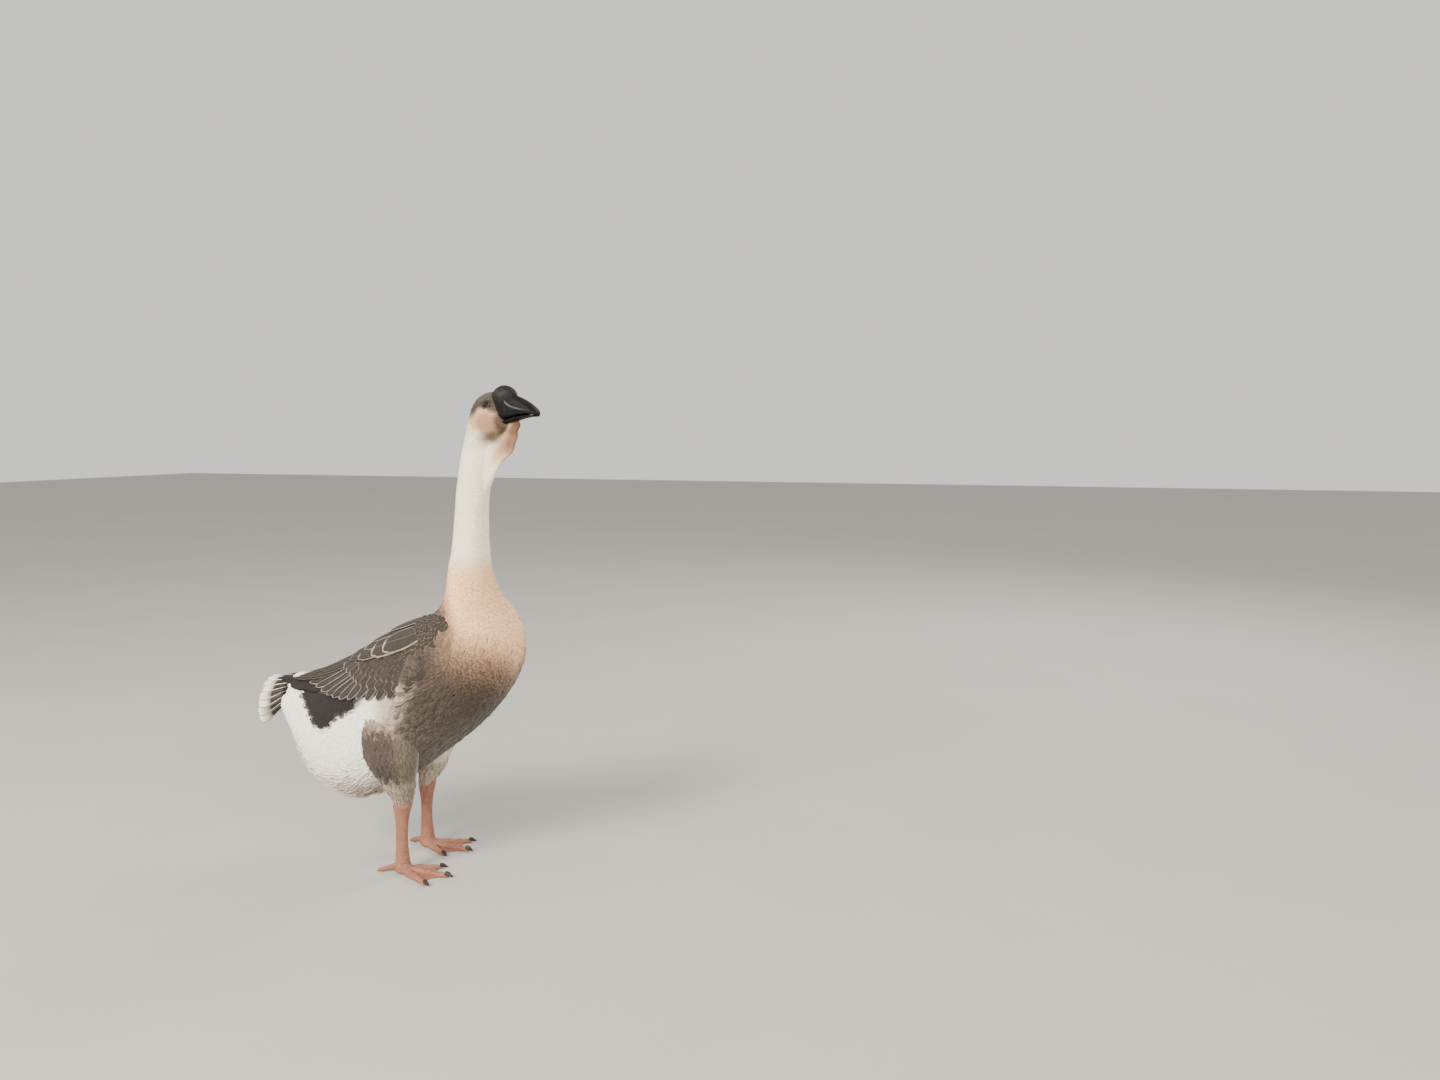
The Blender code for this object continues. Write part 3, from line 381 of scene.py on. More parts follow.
def featherMaterial(name, rim, ends, barbs, shaft, contrast, mottle, roughness, sheen, bump):
    material, tree, shader = newMaterial(name, roughness, 0.25, sheen)
    base = node(tree, "ShaderNodeAttribute", attribute_name="baseColour")
    edge = node(tree, "ShaderNodeAttribute", attribute_name="edgeColour")
    marks = node(tree, "ShaderNodeGroup", node_tree=marksGroup)
    blotch = node(tree, "ShaderNodeGroup", node_tree=blotchGroup)
    link(tree, base.outputs["Color"], blotch.inputs["Color"])
    blotch.inputs["Scale"].default_value = 150.0
    blotch.inputs["Amount"].default_value = mottle
    link(tree, blotch.outputs["Color"], marks.inputs["Base"])
    link(tree, edge.outputs["Color"], marks.inputs["Edge"])
    marks.inputs["Rim Width"].default_value = rim
    marks.inputs["Tip Sharpness"].default_value = ends
    marks.inputs["Barbs"].default_value = barbs
    marks.inputs["Shaft Width"].default_value = shaft
    marks.inputs["Contrast"].default_value = contrast
    link(tree, marks.outputs["Color"], shader.inputs["Base Color"])
    bumpInto(tree, shader, marks.outputs["Height"], bump, barbDepth)
    return material


featherLooks = {
    "coverts": dict(rim=0.13, ends=3.2, barbs=34.0, shaft=0.04, contrast=0.40, mottle=0.50, roughness=0.70,
                    sheen=0.05, bump=0.30),
    "quills": dict(rim=0.19, ends=8.0, barbs=60.0, shaft=0.05, contrast=0.30, mottle=0.30, roughness=0.55,
                   sheen=0.0, bump=0.35),
    "down": dict(rim=0.30, ends=1.6, barbs=22.0, shaft=0.02, contrast=0.14, mottle=0.14, roughness=0.90,
                 sheen=0.12, bump=0.12),
    "velvet": dict(rim=0.40, ends=1.6, barbs=10.0, shaft=0.02, contrast=0.14, mottle=0.26, roughness=0.90,
                   sheen=0.12, bump=0.08),
}
featherFinish = {name: featherMaterial(name, **look) for name, look in featherLooks.items()}
print("feather finishes made")


# Plumage colours, in linear light.
tone = {
    "cream": (0.88, 0.79, 0.58),
    "peach": (0.82, 0.49, 0.25),
    "tan": (0.19, 0.115, 0.070),
    "greyBrown": (0.050, 0.036, 0.026),
    "belly": (0.078, 0.064, 0.045),
    "slate": (0.009, 0.006, 0.0062),
    "white": (0.90, 0.84, 0.74),
    "thigh": (0.062, 0.043, 0.035),
    "thighLow": (0.028, 0.0185, 0.013),
    "thighFront": (0.135, 0.108, 0.078),
    "innerThigh": (0.62, 0.55, 0.39),
    "thighBand": (0.33, 0.24, 0.185),
    # darker low on the white rear: part dirt, part painted shade under the body
    "lowDirtAndShade": (0.18, 0.13, 0.09),
    "hock": (0.37, 0.29, 0.22),
    "crown": (0.06, 0.05, 0.037),
    "nape": (0.048, 0.035, 0.027),
    "lores": (0.017, 0.012, 0.007),
    "cheek": (0.34, 0.185, 0.1),
    "palePeach": (0.66, 0.43, 0.27),
    "jaw": (0.062, 0.04, 0.02),
    # painted shadow under the cheek, laid in as an olive colour
    "underCheekShadow": (0.075, 0.055, 0.026),
    "faceBand": (0.24, 0.17, 0.1),
    "dewlap": (0.215, 0.110, 0.061),
    # painted shadow in the crease between the cheek and the dewlap
    "creaseShadow": (0.05, 0.025, 0.013),
    "softEdge": (0.105, 0.083, 0.064),
    "tail": (0.016, 0.012, 0.009),
    "dewlapTop": (0.120, 0.062, 0.038),
}
tone = {name: np.array(value) for name, value in tone.items()}


def layered(start, *layers):
    # lays colours over the start one after another, each with its own 0 to 1 mask
    colour = np.array(start, float)
    for mask, value in layers:
        mask = np.asarray(mask)[..., None]
        colour = colour * (1 - mask) + np.asarray(value) * mask
    return colour


# The slate patch under the wing tip: body station and its lower limit in degrees from the back.
slatePatch = np.array([
    (1.00, 44),
    (1.40, 51),
    (1.99, 65),
    (2.65, 82),
    (3.10, 87),
    (3.48, 87),
    (3.78, 80),
    (4.49, 77),
    (5.00, 77),
])

# The height of the border between the grey body and the buff chest, by degrees from the back.
chestBorder = np.array([(0, 0.480), (55, 0.470), (75, 0.440), (92, 0.410), (115, 0.398), (138, 0.386),
                        (180, 0.352)])


def plumage(s, phi, wobble):
    # The markings as layers, by height, by distance along and by the angle from the back.
    # wobble is a random number for each feather, about 0, that keeps borders from being lines.
    points = bodyPoint(s, phi)
    x, z = points[..., 0], points[..., 2] + 0.004 * wobble
    smoothZ = points[..., 2] + 0.0015 * wobble
    angle = np.degrees(np.arccos(np.cos(phi)))  # 0 along the back and 180 along the belly
    wingLow = np.interp(s, wingRows[::-1, 1], wingRows[::-1, 3])
    above = smoothZ - np.interp(angle, *chestBorder.T)  # how far above the chest's border
    inFront = blendStep(0.02, 0.10, x)
    colour = layered(
        np.ones_like(z)[..., None] * tone["greyBrown"],
        (blendStep(0.30, 0.22, z) * blendStep(0.00, 0.05, x), tone["belly"]),
        (inFront * blendStep(-0.050, 0.008, above), tone["tan"]),
        (inFront * blendStep(-0.016, 0.052, above), tone["peach"]),
        (blendStep(0.520, 0.575, smoothZ), tone["cream"]),
    )
    # the white rear, a duller band over the thigh, darker tufts low down (part dirt, part painted shade under
    # the body), and the rump
    rear = blendStep(0.0175, -0.0375, x - 0.32 * (z - 0.15) + 0.008 * wobble)
    white = rear * blendStep(wingLow - 14, wingLow - 6, angle) * blendStep(0.44, 0.38, z)
    rumpBand = blendStep(-0.190, -0.222, x + 0.006 * wobble)
    rearTone = layered(
        np.ones_like(z)[..., None] * tone["white"],
        (blendStep(-0.035, 0.020, x) * 0.85, tone["thighBand"]),
        # darker towards the bottom: part dirt, part painted shade under the body
        (blendStep(0.190, 0.125, z) * blendStep(-0.22, -0.04, x) * 0.75, tone["lowDirtAndShade"]),
    )
    colour = layered(colour, (np.maximum(white, rumpBand), rearTone))
    # the slate patch, whose upper side lies under the wing
    low = np.interp(s, *slatePatch.T) + 0.8 * wobble
    patch = blendStep(low + 3.0, low - 2.0, angle) * blendStep(wingLow - 26, wingLow - 18, angle)
    patch = patch * blendStep(1.0, 1.25, s) * blendStep(4.9, 4.3, s)
    colour = layered(colour, (patch, tone["slate"]))
    # edges: pale on the grey back, buff on the chest's lower border, and near the base elsewhere
    grey = 1 - blendStep(0.12, 0.30, colour[..., 0])
    upper = blendStep(80, 50, angle)
    fringe = blendStep(-0.075, -0.020, above) * blendStep(0.060, 0.015, above) * blendStep(0.10, 0.16, x)
    edge = layered(
        colour * 1.12,
        (grey * upper * (1 - patch), tone["softEdge"]),
        (fringe * 0.10, tone["peach"]),
    )
    return np.clip(colour, 0, 0.9), np.clip(edge, 0, 0.9)


headMarks = {
    "cheek": (0.1640, 0.7985, 0.0290, 0.0195, 0),
    "blush": (0.1740, 0.7940, 0.0215, 0.0185, 0),
    "jaw": (0.2000, 0.7950, 0.0115, 0.0330, 0),
    # the next oval is a painted shadow under the cheek
    "underCheekShadow": (0.1870, 0.7695, 0.0330, 0.0125, 8),
    "lores": (0.1880, 0.8190, 0.0120, 0.0085, 0),
    "eyeRing": (0.1719, 0.8238, 0.0115, 0.0085, 0),
    # the next oval is a painted shadow in the crease beside the dewlap
    "creaseShadow": (0.1990, 0.7790, 0.0120, 0.0036, 38),
}  # centre (x, z), half sizes and tilt in degrees, on the head before it is turned


def markShare(name, x, z, soft):
    # 1 inside a named oval and 0 outside it, with a border of the given softness
    midX, midZ, halfX, halfZ, tilt = headMarks[name]
    c, s = math.cos(math.radians(tilt)), math.sin(math.radians(tilt))
    u, v = (x - midX) * c + (z - midZ) * s, (z - midZ) * c - (x - midX) * s
    return blendStep(1 + soft, 1 - soft, np.hypot(u / halfX, v / halfZ))


def headPlumage(s, phi, wobble):
    # face markings by ovals and lines on the unturned head, painted shadow under the cheek and in the crease
    # beside the dewlap, and the dewlap by its fold's share
    points = bodyPoint(s, phi)
    x, z = points[..., 0] + 0.0008 * wobble, points[..., 2] + 0.0008 * wobble
    back = np.cos(phi)
    fromBill = x + 0.562 * (z - 0.80)  # the same all along the bill's base
    crown = blendStep(0.8245, 0.8320, z)
    nape = blendStep(0.10, 0.45, back) * blendStep(0.790, 0.814, z)
    fold = foldShare(phi)
    onFace = blendStep(0.8250, 0.8180, z) * blendStep(0.7930, 0.8000, z)
    colour = layered(
        np.ones_like(x)[..., None] * tone["cream"],
        (blendStep(0.766, 0.786, z) * (1 - fold) * 0.6, tone["palePeach"]),
        # painted shadow under the cheek, strongest towards the bill
        (markShare("underCheekShadow", x, z, 0.60) * blendStep(0.120, 0.182, x) * 0.97, tone["underCheekShadow"]),
        (markShare("cheek", x, z, 0.25) * 0.95, tone["palePeach"]),
        (markShare("blush", x, z, 0.60) * 0.90, tone["cheek"]),
        (markShare("jaw", x, z, 0.50) * 0.95, tone["jaw"]),
        (nape, tone["nape"]),
        (markShare("lores", x, z, 0.40) * 0.9, tone["lores"]),
        (blendStep(0.1985, 0.2005, fromBill) * blendStep(0.2045, 0.2025, fromBill) * onFace,
         tone["faceBand"]),
        (crown, tone["crown"]),
        (markShare("eyeRing", x, z, 0.35) * 0.85, tone["lores"]),
        (blendStep(0.10, 0.55, fold) * blendStep(0.706, 0.735, z), tone["palePeach"]),
        (blendStep(0.20, 0.80, fold) * blendStep(0.722, 0.760, z), tone["dewlap"]),
        (blendStep(0.10, 0.70, fold) * blendStep(0.768, 0.788, z) * 0.9, tone["dewlapTop"]),
        # painted shadow in the crease beside the dewlap
        (markShare("creaseShadow", x, z, 0.60) * blendStep(0.95, 0.55, fold), tone["creaseShadow"]),
    )
    return colour, np.clip(colour * 1.12, 0, 0.9)


# Vanes: every feather is a closed, slightly domed slab, worked out for all feathers of a coat at
# once on a grid of stations from root to tip and columns from edge to edge.
vaneForms = {
    "round": ((0.0, 0.45), (0.30, 0.86), (0.62, 1.0), (0.86, 0.74), (1.0, 0.16)),
    "square": ((0.0, 0.50), (0.25, 0.82), (0.55, 1.0), (0.80, 0.98), (0.95, 0.68), (1.0, 0.22)),
    "blade": ((0.0, 0.45), (0.20, 0.74), (0.42, 0.93), (0.62, 1.0), (0.78, 0.96), (0.90, 0.74), (0.97, 0.40),
              (1.0, 0.08)),
    "lock": ((0.0, 0.60), (0.40, 1.0), (0.75, 0.66), (1.0, 0.06)),
}


def vaneFaces(stations, columns):
    # quads of the top, and of the underside, which shares the rim's points with the top
    index = np.arange(stations * columns).reshape(stations, columns)
    under = index.copy()
    extra = stations * columns
    for r in range(1, stations - 1):
        for c in range(1, columns - 1):
            under[r, c] = extra
            extra += 1
    quads = []
    for r in range(stations - 1):
        for c in range(columns - 1):
            quads.append((index[r, c], index[r + 1, c], index[r + 1, c + 1], index[r, c + 1]))
            quads.append((under[r, c], under[r, c + 1], under[r + 1, c + 1], under[r + 1, c]))
    return np.array(quads), extra


def mapTangents(surface, a, b):
    # how the surface's point moves for one unit of each map direction, from small steps both ways
    step, flat = 1e-3, np.zeros_like(a)
    alongA = surface(a + step, b, flat) - surface(a - step, b, flat)
    alongB = surface(a, b + step, flat) - surface(a, b - step, flat)
    return alongA / (2 * step), alongB / (2 * step)


def mapRates(surface, a, b):
    # metres travelled for one unit of each map direction
    return tuple(np.linalg.norm(along, axis=1) for along in mapTangents(surface, a, b))


def buildVanes(name, surface, feathers, form, finish, columns=3):
    # feathers holds arrays: root and tip in the surface's own map, half width, heights of root
    # and tip, roll, dome, base and edge colours, and the root's place on the bake map.
    share, width = np.array(vaneForms[form]).T
    stations = len(share)
    across = np.linspace(-1, 1, columns)
    root, tip = feathers["root"], feathers["tip"]
    count = len(root)
    middle = (root + tip) / 2
    flat = np.zeros(count)
    alongA, alongB = mapTangents(surface, middle[:, 0], middle[:, 1])
    ahead = alongA * (tip - root)[:, :1] + alongB * (tip - root)[:, 1:]
    ahead /= np.linalg.norm(ahead, axis=1, keepdims=True) + 1e-12
    normal = np.cross(alongA, alongB)
    normal /= np.linalg.norm(normal, axis=1, keepdims=True) + 1e-12
    outward = surface(middle[:, 0], middle[:, 1], flat + 1e-3) - surface(middle[:, 0], middle[:, 1], flat)
    normal *= np.sign((normal * outward).sum(axis=1, keepdims=True))
    sideways = np.cross(normal, ahead)
    # the sideways direction in the map, from the two tangents' dot products
    aa, ab, bb = (alongA**2).sum(1), (alongA * alongB).sum(1), (alongB**2).sum(1)
    da, db = (sideways * alongA).sum(1), (sideways * alongB).sum(1)
    spread = aa * bb - ab * ab
    stepA, stepB = (bb * da - ab * db) / spread, (aa * db - ab * da) / spread
    sideStep = np.stack([stepA, stepB], axis=1)
    reach = feathers["half"][:, None, None] * width[None, :, None] * across[None, None, :]
    reach = np.broadcast_to(reach, (count, stations, columns))
    bow = feathers.get("bow", flat)[:, None] * (share * (1 - share) * 4)[None, :]
    path = root[:, None, :] + share[None, :, None] * (tip - root)[:, None, :]
    path = path + bow[..., None] * sideStep[:, None, :]
    mapPlace = path[:, :, None, :] + reach[..., None] * sideStep[:, None, None, :]
    low, high = feathers["low"][:, None], feathers["high"][:, None]
    rise = low + (high - low) * (np.sin(share * math.pi / 2) ** feathers.get("rise", 0.8))[None, :]
    height = rise[:, :, None] + reach * np.tan(feathers["roll"])[:, None, None]
    dome = feathers["dome"][:, None, None] * (1 - across**2)[None, None, :] * width[None, :, None]
    height = height + dome
    top = surface(mapPlace[..., 0], mapPlace[..., 1], height)
    thick = feathers["thick"][:, None, None] * np.sin(math.pi * np.clip(share, 0.1, 0.9))[None, :, None]
    low = surface(mapPlace[..., 0], mapPlace[..., 1], height - thick)
    quads, perVane = vaneFaces(stations, columns)
    points = np.concatenate([top.reshape(count, -1, 3), low[:, 1:-1, 1:-1].reshape(count, -1, 3)], axis=1)
    faces = (quads[None] + (np.arange(count) * perVane)[:, None, None]).reshape(-1, 4)
    topUv = np.stack(np.meshgrid(share, (across + 1) / 2, indexing="ij"), axis=-1)[..., ::-1]
    oneUv = np.concatenate([topUv.reshape(-1, 2), topUv[1:-1, 1:-1].reshape(-1, 2)])
    piece = meshPiece(name, placed(points.reshape(-1, 3)), faces, finish)
    featherUv = np.tile(oneUv, (count, 1))
    bake = feathers["cell"][:, None, :] + (oneUv[None] - 0.5) * feathers["cellSize"][:, None, None]
    addUv(piece, "OFBake", bake.reshape(-1, 2))
    addUv(piece, "featherUv", featherUv)
    base = np.repeat(feathers["base"], perVane, axis=0)
    if "paint" in feathers:
        # borders are softened by reading more than half of each colour at the point's own place
        inner = mapPlace[:, 1:-1, 1:-1].reshape(count, -1, 2)
        own = np.concatenate([mapPlace.reshape(count, -1, 2), inner], axis=1)
        base = 0.4 * base + 0.6 * feathers["paint"](own).reshape(-1, 3)
    if "tipBase" in feathers:
        tipMask = blendStep(0, 0.16, featherUv[:, 1] - np.repeat(feathers["tipStart"], perVane))[:, None]
        base = base * (1 - tipMask) + np.repeat(feathers["tipBase"], perVane, axis=0) * tipMask
    addColour(piece, "baseColour", base)
    addColour(piece, "edgeColour", np.repeat(feathers["edge"], perVane, axis=0))
    if feathers.get("soft"):
        outward = placed(top) - placed(low)
        softenNormals(piece, outward.reshape(count, -1, 3), perVane, feathers["soft"])
    return piece


def softenNormals(piece, outward, perVane, soft):
    # shading normals part way from each vane's own to those of the body under it
    outward = outward / (np.linalg.norm(outward, axis=-1, keepdims=True) + 1e-12)
    onTop = outward.shape[1]
    own = np.zeros(len(piece.data.vertices) * 3, np.float32)
    piece.data.vertex_normals.foreach_get("vector", own)
    own = own.reshape(-1, perVane, 3)
    own[:, :onTop] = own[:, :onTop] * (1 - soft) + outward * soft
    own /= np.linalg.norm(own, axis=-1, keepdims=True) + 1e-9
    piece.data.normals_split_custom_set_from_vertices(own.reshape(-1, 3).tolist())


def meshPiece(name, points, faces, finish, smooth=True):
    # a mesh object from arrays: points by foreach_set, and faces of three or four corners each
    points, faces = np.asarray(points, float), np.asarray(faces)
    mesh = bpy.data.meshes.new(name)
    corners = faces.shape[1]
    mesh.vertices.add(len(points))
    mesh.vertices.foreach_set("co", points.astype(np.float32).ravel())
    mesh.loops.add(faces.size)
    mesh.loops.foreach_set("vertex_index", faces.astype(np.int32).ravel())
    mesh.polygons.add(len(faces))
    mesh.polygons.foreach_set("loop_start", np.arange(0, faces.size, corners, dtype=np.int32))
    mesh.polygons.foreach_set("use_smooth", np.full(len(faces), smooth))
    mesh.update(calc_edges=True)
    mesh.materials.append(finish)
    piece = bpy.data.objects.new(name, mesh)
    bpy.context.scene.collection.objects.link(piece)
    return piece


def addUv(piece, name, perPoint):
    mesh = piece.data
    corner = np.zeros(len(mesh.loops), np.int32)
    mesh.loops.foreach_get("vertex_index", corner)
    layer = mesh.uv_layers.new(name=name)
    layer.data.foreach_set("uv", perPoint[corner].astype(np.float32).ravel())


def addColour(piece, name, perPoint):
    layer = piece.data.color_attributes.new(name, "FLOAT_COLOR", "POINT")
    full = np.ones((len(perPoint), 4), np.float32)
    full[:, :3] = perPoint
    layer.data.foreach_set("color", full.ravel())


def finishPiece(piece, slotName, *nodes):
    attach(piece, "root")
    if nodes:
        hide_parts(*nodes)
    return piece


def runLength(points):
    # the distance along a line of points, from its first
    return np.concatenate([[0], np.cumsum(np.linalg.norm(np.diff(points, axis=0), axis=1))])


# The lie of the body's feathers: rows of roots from one station to another, each row shifted by
# half a feather from the one before, with the feathers pointing back along the body.
def coatRoots(sFrom, sTo, spacing, rowShare, seed, keep=None):
    # walks along the body by the row step, and round each section by the spacing
    random = np.random.default_rng(seed)
    fine = np.linspace(sFrom, sTo, 600)
    sideLine = bodyPoint(fine, np.full_like(fine, math.pi / 2))
    length = runLength(sideLine)
    rows = max(int(length[-1] / (spacing * rowShare)), 2)
    places = np.interp(np.linspace(0, length[-1], rows), length, fine)
    sList, phiList = [], []
    for number, s in enumerate(places):
        ring = bodyPoint(s, np.linspace(0, 2 * math.pi, 97))
        arcs = runLength(ring)
        count = max(int(arcs[-1] / spacing), 8)
        marks = (np.arange(count) + 0.5 * (number % 2) + random.uniform(-0.18, 0.18, count)) / count
        phi = np.interp((marks % 1) * arcs[-1], arcs, np.linspace(0, 2 * math.pi, 97))
        sList.append(np.full(count, s) + random.uniform(-0.2, 0.2, count) * (places[1] - places[0]))
        phiList.append(phi)
    s, phi = np.concatenate(sList), np.concatenate(phiList)
    if keep is not None:
        wanted = keep(s, phi)
        s, phi = s[wanted], phi[wanted]
    return s, phi, random


def unwrapped(share, angle):
    # a tuft's place on the bake map: along the form, and round it, inside a narrow margin
    around = (angle % (2 * math.pi)) / (2 * math.pi)
    return np.stack([bakeMargin + (1 - 2 * bakeMargin) * v for v in (share, around)], axis=1)


bakeMargin, tuftPatch, quillPatch = 0.02, 0.003, 0.05


def bodyFeathers(s, phi, random, look, colours):
    # feathers rooted at (s, phi) that point back along the body, with a little scatter
    rateS, ratePhi = mapRates(bodySurface, s, phi)
    count = len(s)
    long = look["length"] * random.uniform(0.85, 1.18, count)
    lean = np.radians(look["scatter"]) * random.normal(0, 1, count)
    root = np.stack([s, phi], axis=1)
    tip = root.copy()
    tip[:, 0] -= long * np.cos(lean) / rateS
    tip[:, 1] += long * np.sin(lean) / ratePhi
    shown = (root + 0.6 * (tip - root)).T  # where the part that shows lies
    wobble = random.normal(0, 1, count)
    base, edge = colours(*shown, wobble)
    tint = (1 + look["tint"] * random.normal(0, 1, count))[:, None]

    def paint(places):
        own, _ = colours(places[..., 0], places[..., 1], wobble[:, None])
        return np.clip(own * tint[:, None], 0, 0.92)

    cell = unwrapped(s / at["face"], phi)
    return {
        "root": root,
        "tip": tip,
        "half": look["half"] * random.uniform(0.88, 1.15, count),
        "low": np.full(count, look["low"]),
        "high": look["high"] + look["lift"] * random.uniform(0, 1, count) ** 2,
        "roll": np.radians(look["roll"]) * random.normal(0, 1, count),
        "dome": np.full(count, look["dome"]),
        "thick": np.full(count, look["thick"]),
        "bow": look["half"] * 0.5 * random.normal(0, 1, count),
        "base": np.clip(base * tint, 0, 0.92),
        "edge": np.clip(edge * tint, 0, 0.92),
        "cell": cell,
        "cellSize": np.full(count, tuftPatch),
        "soft": look["soft"],
        "paint": paint,
    }


coatLooks = {
    "back": dict(length=0.026, half=0.0068, low=-0.0030, high=0.0005, lift=0.0012, roll=4, dome=0.0008,
                 thick=0.0004, scatter=5, tint=0.07, soft=0.3),
    "flank": dict(length=0.024, half=0.0048, low=-0.0030, high=0.0004, lift=0.0012, roll=5, dome=0.0006,
                  thick=0.0003, scatter=8, tint=0.12, soft=0.6),
    "rear": dict(length=0.026, half=0.0040, low=-0.0030, high=0.0003, lift=0.0010, roll=4, dome=0.0004,
                 thick=0.0003, scatter=8, tint=0.02, soft=0.8),
    "ragged": dict(length=0.030, half=0.0022, low=-0.0010, high=0.0015, lift=0.0065, roll=14, dome=0.0004,
                   thick=0.0004, scatter=16, tint=0.06, soft=0.3),
    "breast": dict(length=0.018, half=0.0042, low=-0.0026, high=0.0002, lift=0.0007, roll=4, dome=0.0004,
                   thick=0.0003, scatter=6, tint=0.035, soft=0.7),
    "neck": dict(length=0.0125, half=0.0026, low=-0.0017, high=0.0002, lift=0.0003, roll=3, dome=0.0002,
                 thick=0.0002, scatter=5, tint=0.02, soft=0.85),
    "head": dict(length=0.0052, half=0.0012, low=-0.0008, high=0.0001, lift=0.0003, roll=5, dome=0.0001,
                 thick=0.0002, scatter=8, tint=0.05, soft=0.75),
}
print("ready to grow the coat")

wingRows = np.array([
    (-0.16, 9.30, 58, 78),
    (0.00, 8.35, 52, 84),
    (0.08, 7.90, 43, 92),
    (0.20, 7.10, 34, 95),
    (0.36, 6.05, 26, 90),
    (0.51, 5.00, 20, 84),
    (0.66, 4.00, 16, 76),
    (0.80, 3.05, 13, 67),
    (0.92, 2.20, 9, 57),
    (1.00, 1.65, 8, 50),
    (1.25, 0.10, 10, 50),
    (1.45, -0.90, 14, 50),
])  # a along the wing, body station, and the upper and lower edges' angles in degrees


def wingPlace(a, b):
    # station and angle of a point of the folded wing's map: a runs to the tip, b to the lower edge
    a, b = np.asarray(a, float), np.asarray(b, float)
    knots = np.interp(a, wingRows[:, 0], np.arange(len(wingRows)))
    rows = smoothRows(wingRows[:, 1:], knots)
    upper, lower = np.radians(rows[..., 1]), np.radians(rows[..., 2])
    return rows[..., 0], upper + (lower - upper) * b


def wingSurface(side):
    def surface(a, b, height):
        s, phi = wingPlace(a, b)
        points = bodySurface(s, phi, height)
        return points * np.array([1, side, 1])
    return surface


def insideWing(s, phi):
    # True under the wing, where no body feather would be seen
    angle = np.where(phi > math.pi, 2 * math.pi - phi, phi)
    a = np.interp(-s, -wingRows[:, 1], wingRows[:, 0])
    upper = np.radians(np.interp(a, wingRows[:, 0], wingRows[:, 2]))
    lower = np.radians(np.interp(a, wingRows[:, 0], wingRows[:, 3]))
    share = (angle - upper) / (lower - upper)
    return (share > 0.18) & (share < 0.80) & (a > 0.05) & (a < 0.93)


def tubeMesh(rings):
    # triangles of a closed tube through rings of equally many points, with a fan at each end
    rows, sides = rings.shape[:2]
    index = np.arange(rows * sides).reshape(rows, sides)
    a, b = index[:-1], np.roll(index[:-1], -1, axis=1)
    c, d = index[1:], np.roll(index[1:], -1, axis=1)
    walls = [np.stack([a, b, d], -1).reshape(-1, 3), np.stack([a, d, c], -1).reshape(-1, 3)]
    first, last = np.full(sides, rows * sides), np.full(sides, rows * sides + 1)
    walls.append(np.stack([first, np.roll(index[0], -1), index[0]], -1))
    walls.append(np.stack([last, index[-1], np.roll(index[-1], -1)], -1))
    points = np.concatenate([rings.reshape(-1, 3), [rings[0].mean(0)], [rings[-1].mean(0)]])
    return points, facingOut(points, np.concatenate(walls))


def slabMesh(top, low):
    # triangles of a closed slab between two grids of the same size, joined round their rims
    rows, columns = top.shape[:2]
    index = np.arange(rows * columns).reshape(rows, columns)
    half = rows * columns
    p, q, s, t = index[:-1, :-1], index[:-1, 1:], index[1:, :-1], index[1:, 1:]
    walls = [np.stack(f, -1).reshape(-1, 3) for f in ((p, q, t), (p, t, s))]
    walls += [np.stack(f, -1).reshape(-1, 3) + half for f in ((p, t, q), (p, s, t))]
    rim = np.concatenate([index[0], index[1:, -1], index[-1, -2::-1], index[-2:0:-1, 0]])
    after = np.roll(rim, -1)
    walls.append(np.stack([rim, half + rim, half + after], -1))
    walls.append(np.stack([rim, half + after, after], -1))
    points = np.concatenate([top.reshape(-1, 3), low.reshape(-1, 3)])
    return points, facingOut(points, np.concatenate(walls))


def facingOut(points, faces):
    # turns the triangles round where the closed mesh holds a negative volume
    volume = np.linalg.det(points[faces]).sum()
    return faces if volume > 0 else faces[:, ::-1]


def standing(pointOf):
    # makes of a two-parameter shape one that also takes a height along its outward normal
    def surface(a, b, height):
        a, b, height = np.broadcast_arrays(*(np.asarray(v, float) for v in (a, b, height)))
        step = 1e-3
        along = pointOf(a + step, b) - pointOf(a - step, b)
        around = pointOf(a, b + step) - pointOf(a, b - step)
        normal = np.cross(along, around)
        normal /= np.linalg.norm(normal, axis=-1, keepdims=True) + 1e-12
        return pointOf(a, b) + height[..., None] * normal
    return surface


def united(name, parts, finish):
    # one closed mesh from several closed ones, joined by a Boolean union
    made = [meshPiece(f"{name}.{i}", *part, finish, smooth=True) for i, part in enumerate(parts)]
    whole = made[0]
    for other in made[1:]:
        modifier = whole.modifiers.new("join", "BOOLEAN")
        modifier.object, modifier.operation, modifier.solver = other, "UNION", "MANIFOLD"
    graph = bpy.context.evaluated_depsgraph_get()
    mesh = bpy.data.meshes.new_from_object(whole.evaluated_get(graph))
    for thing in made:
        bpy.data.objects.remove(thing)
    mesh.name = name
    mesh.shade_smooth()
    piece = bpy.data.objects.new(name, mesh)
    bpy.context.scene.collection.objects.link(piece)
    return piece


def meshPoints(piece):
    points = np.zeros(len(piece.data.vertices) * 3, np.float32)
    piece.data.vertices.foreach_get("co", points)
    return points.reshape(-1, 3).astype(float)


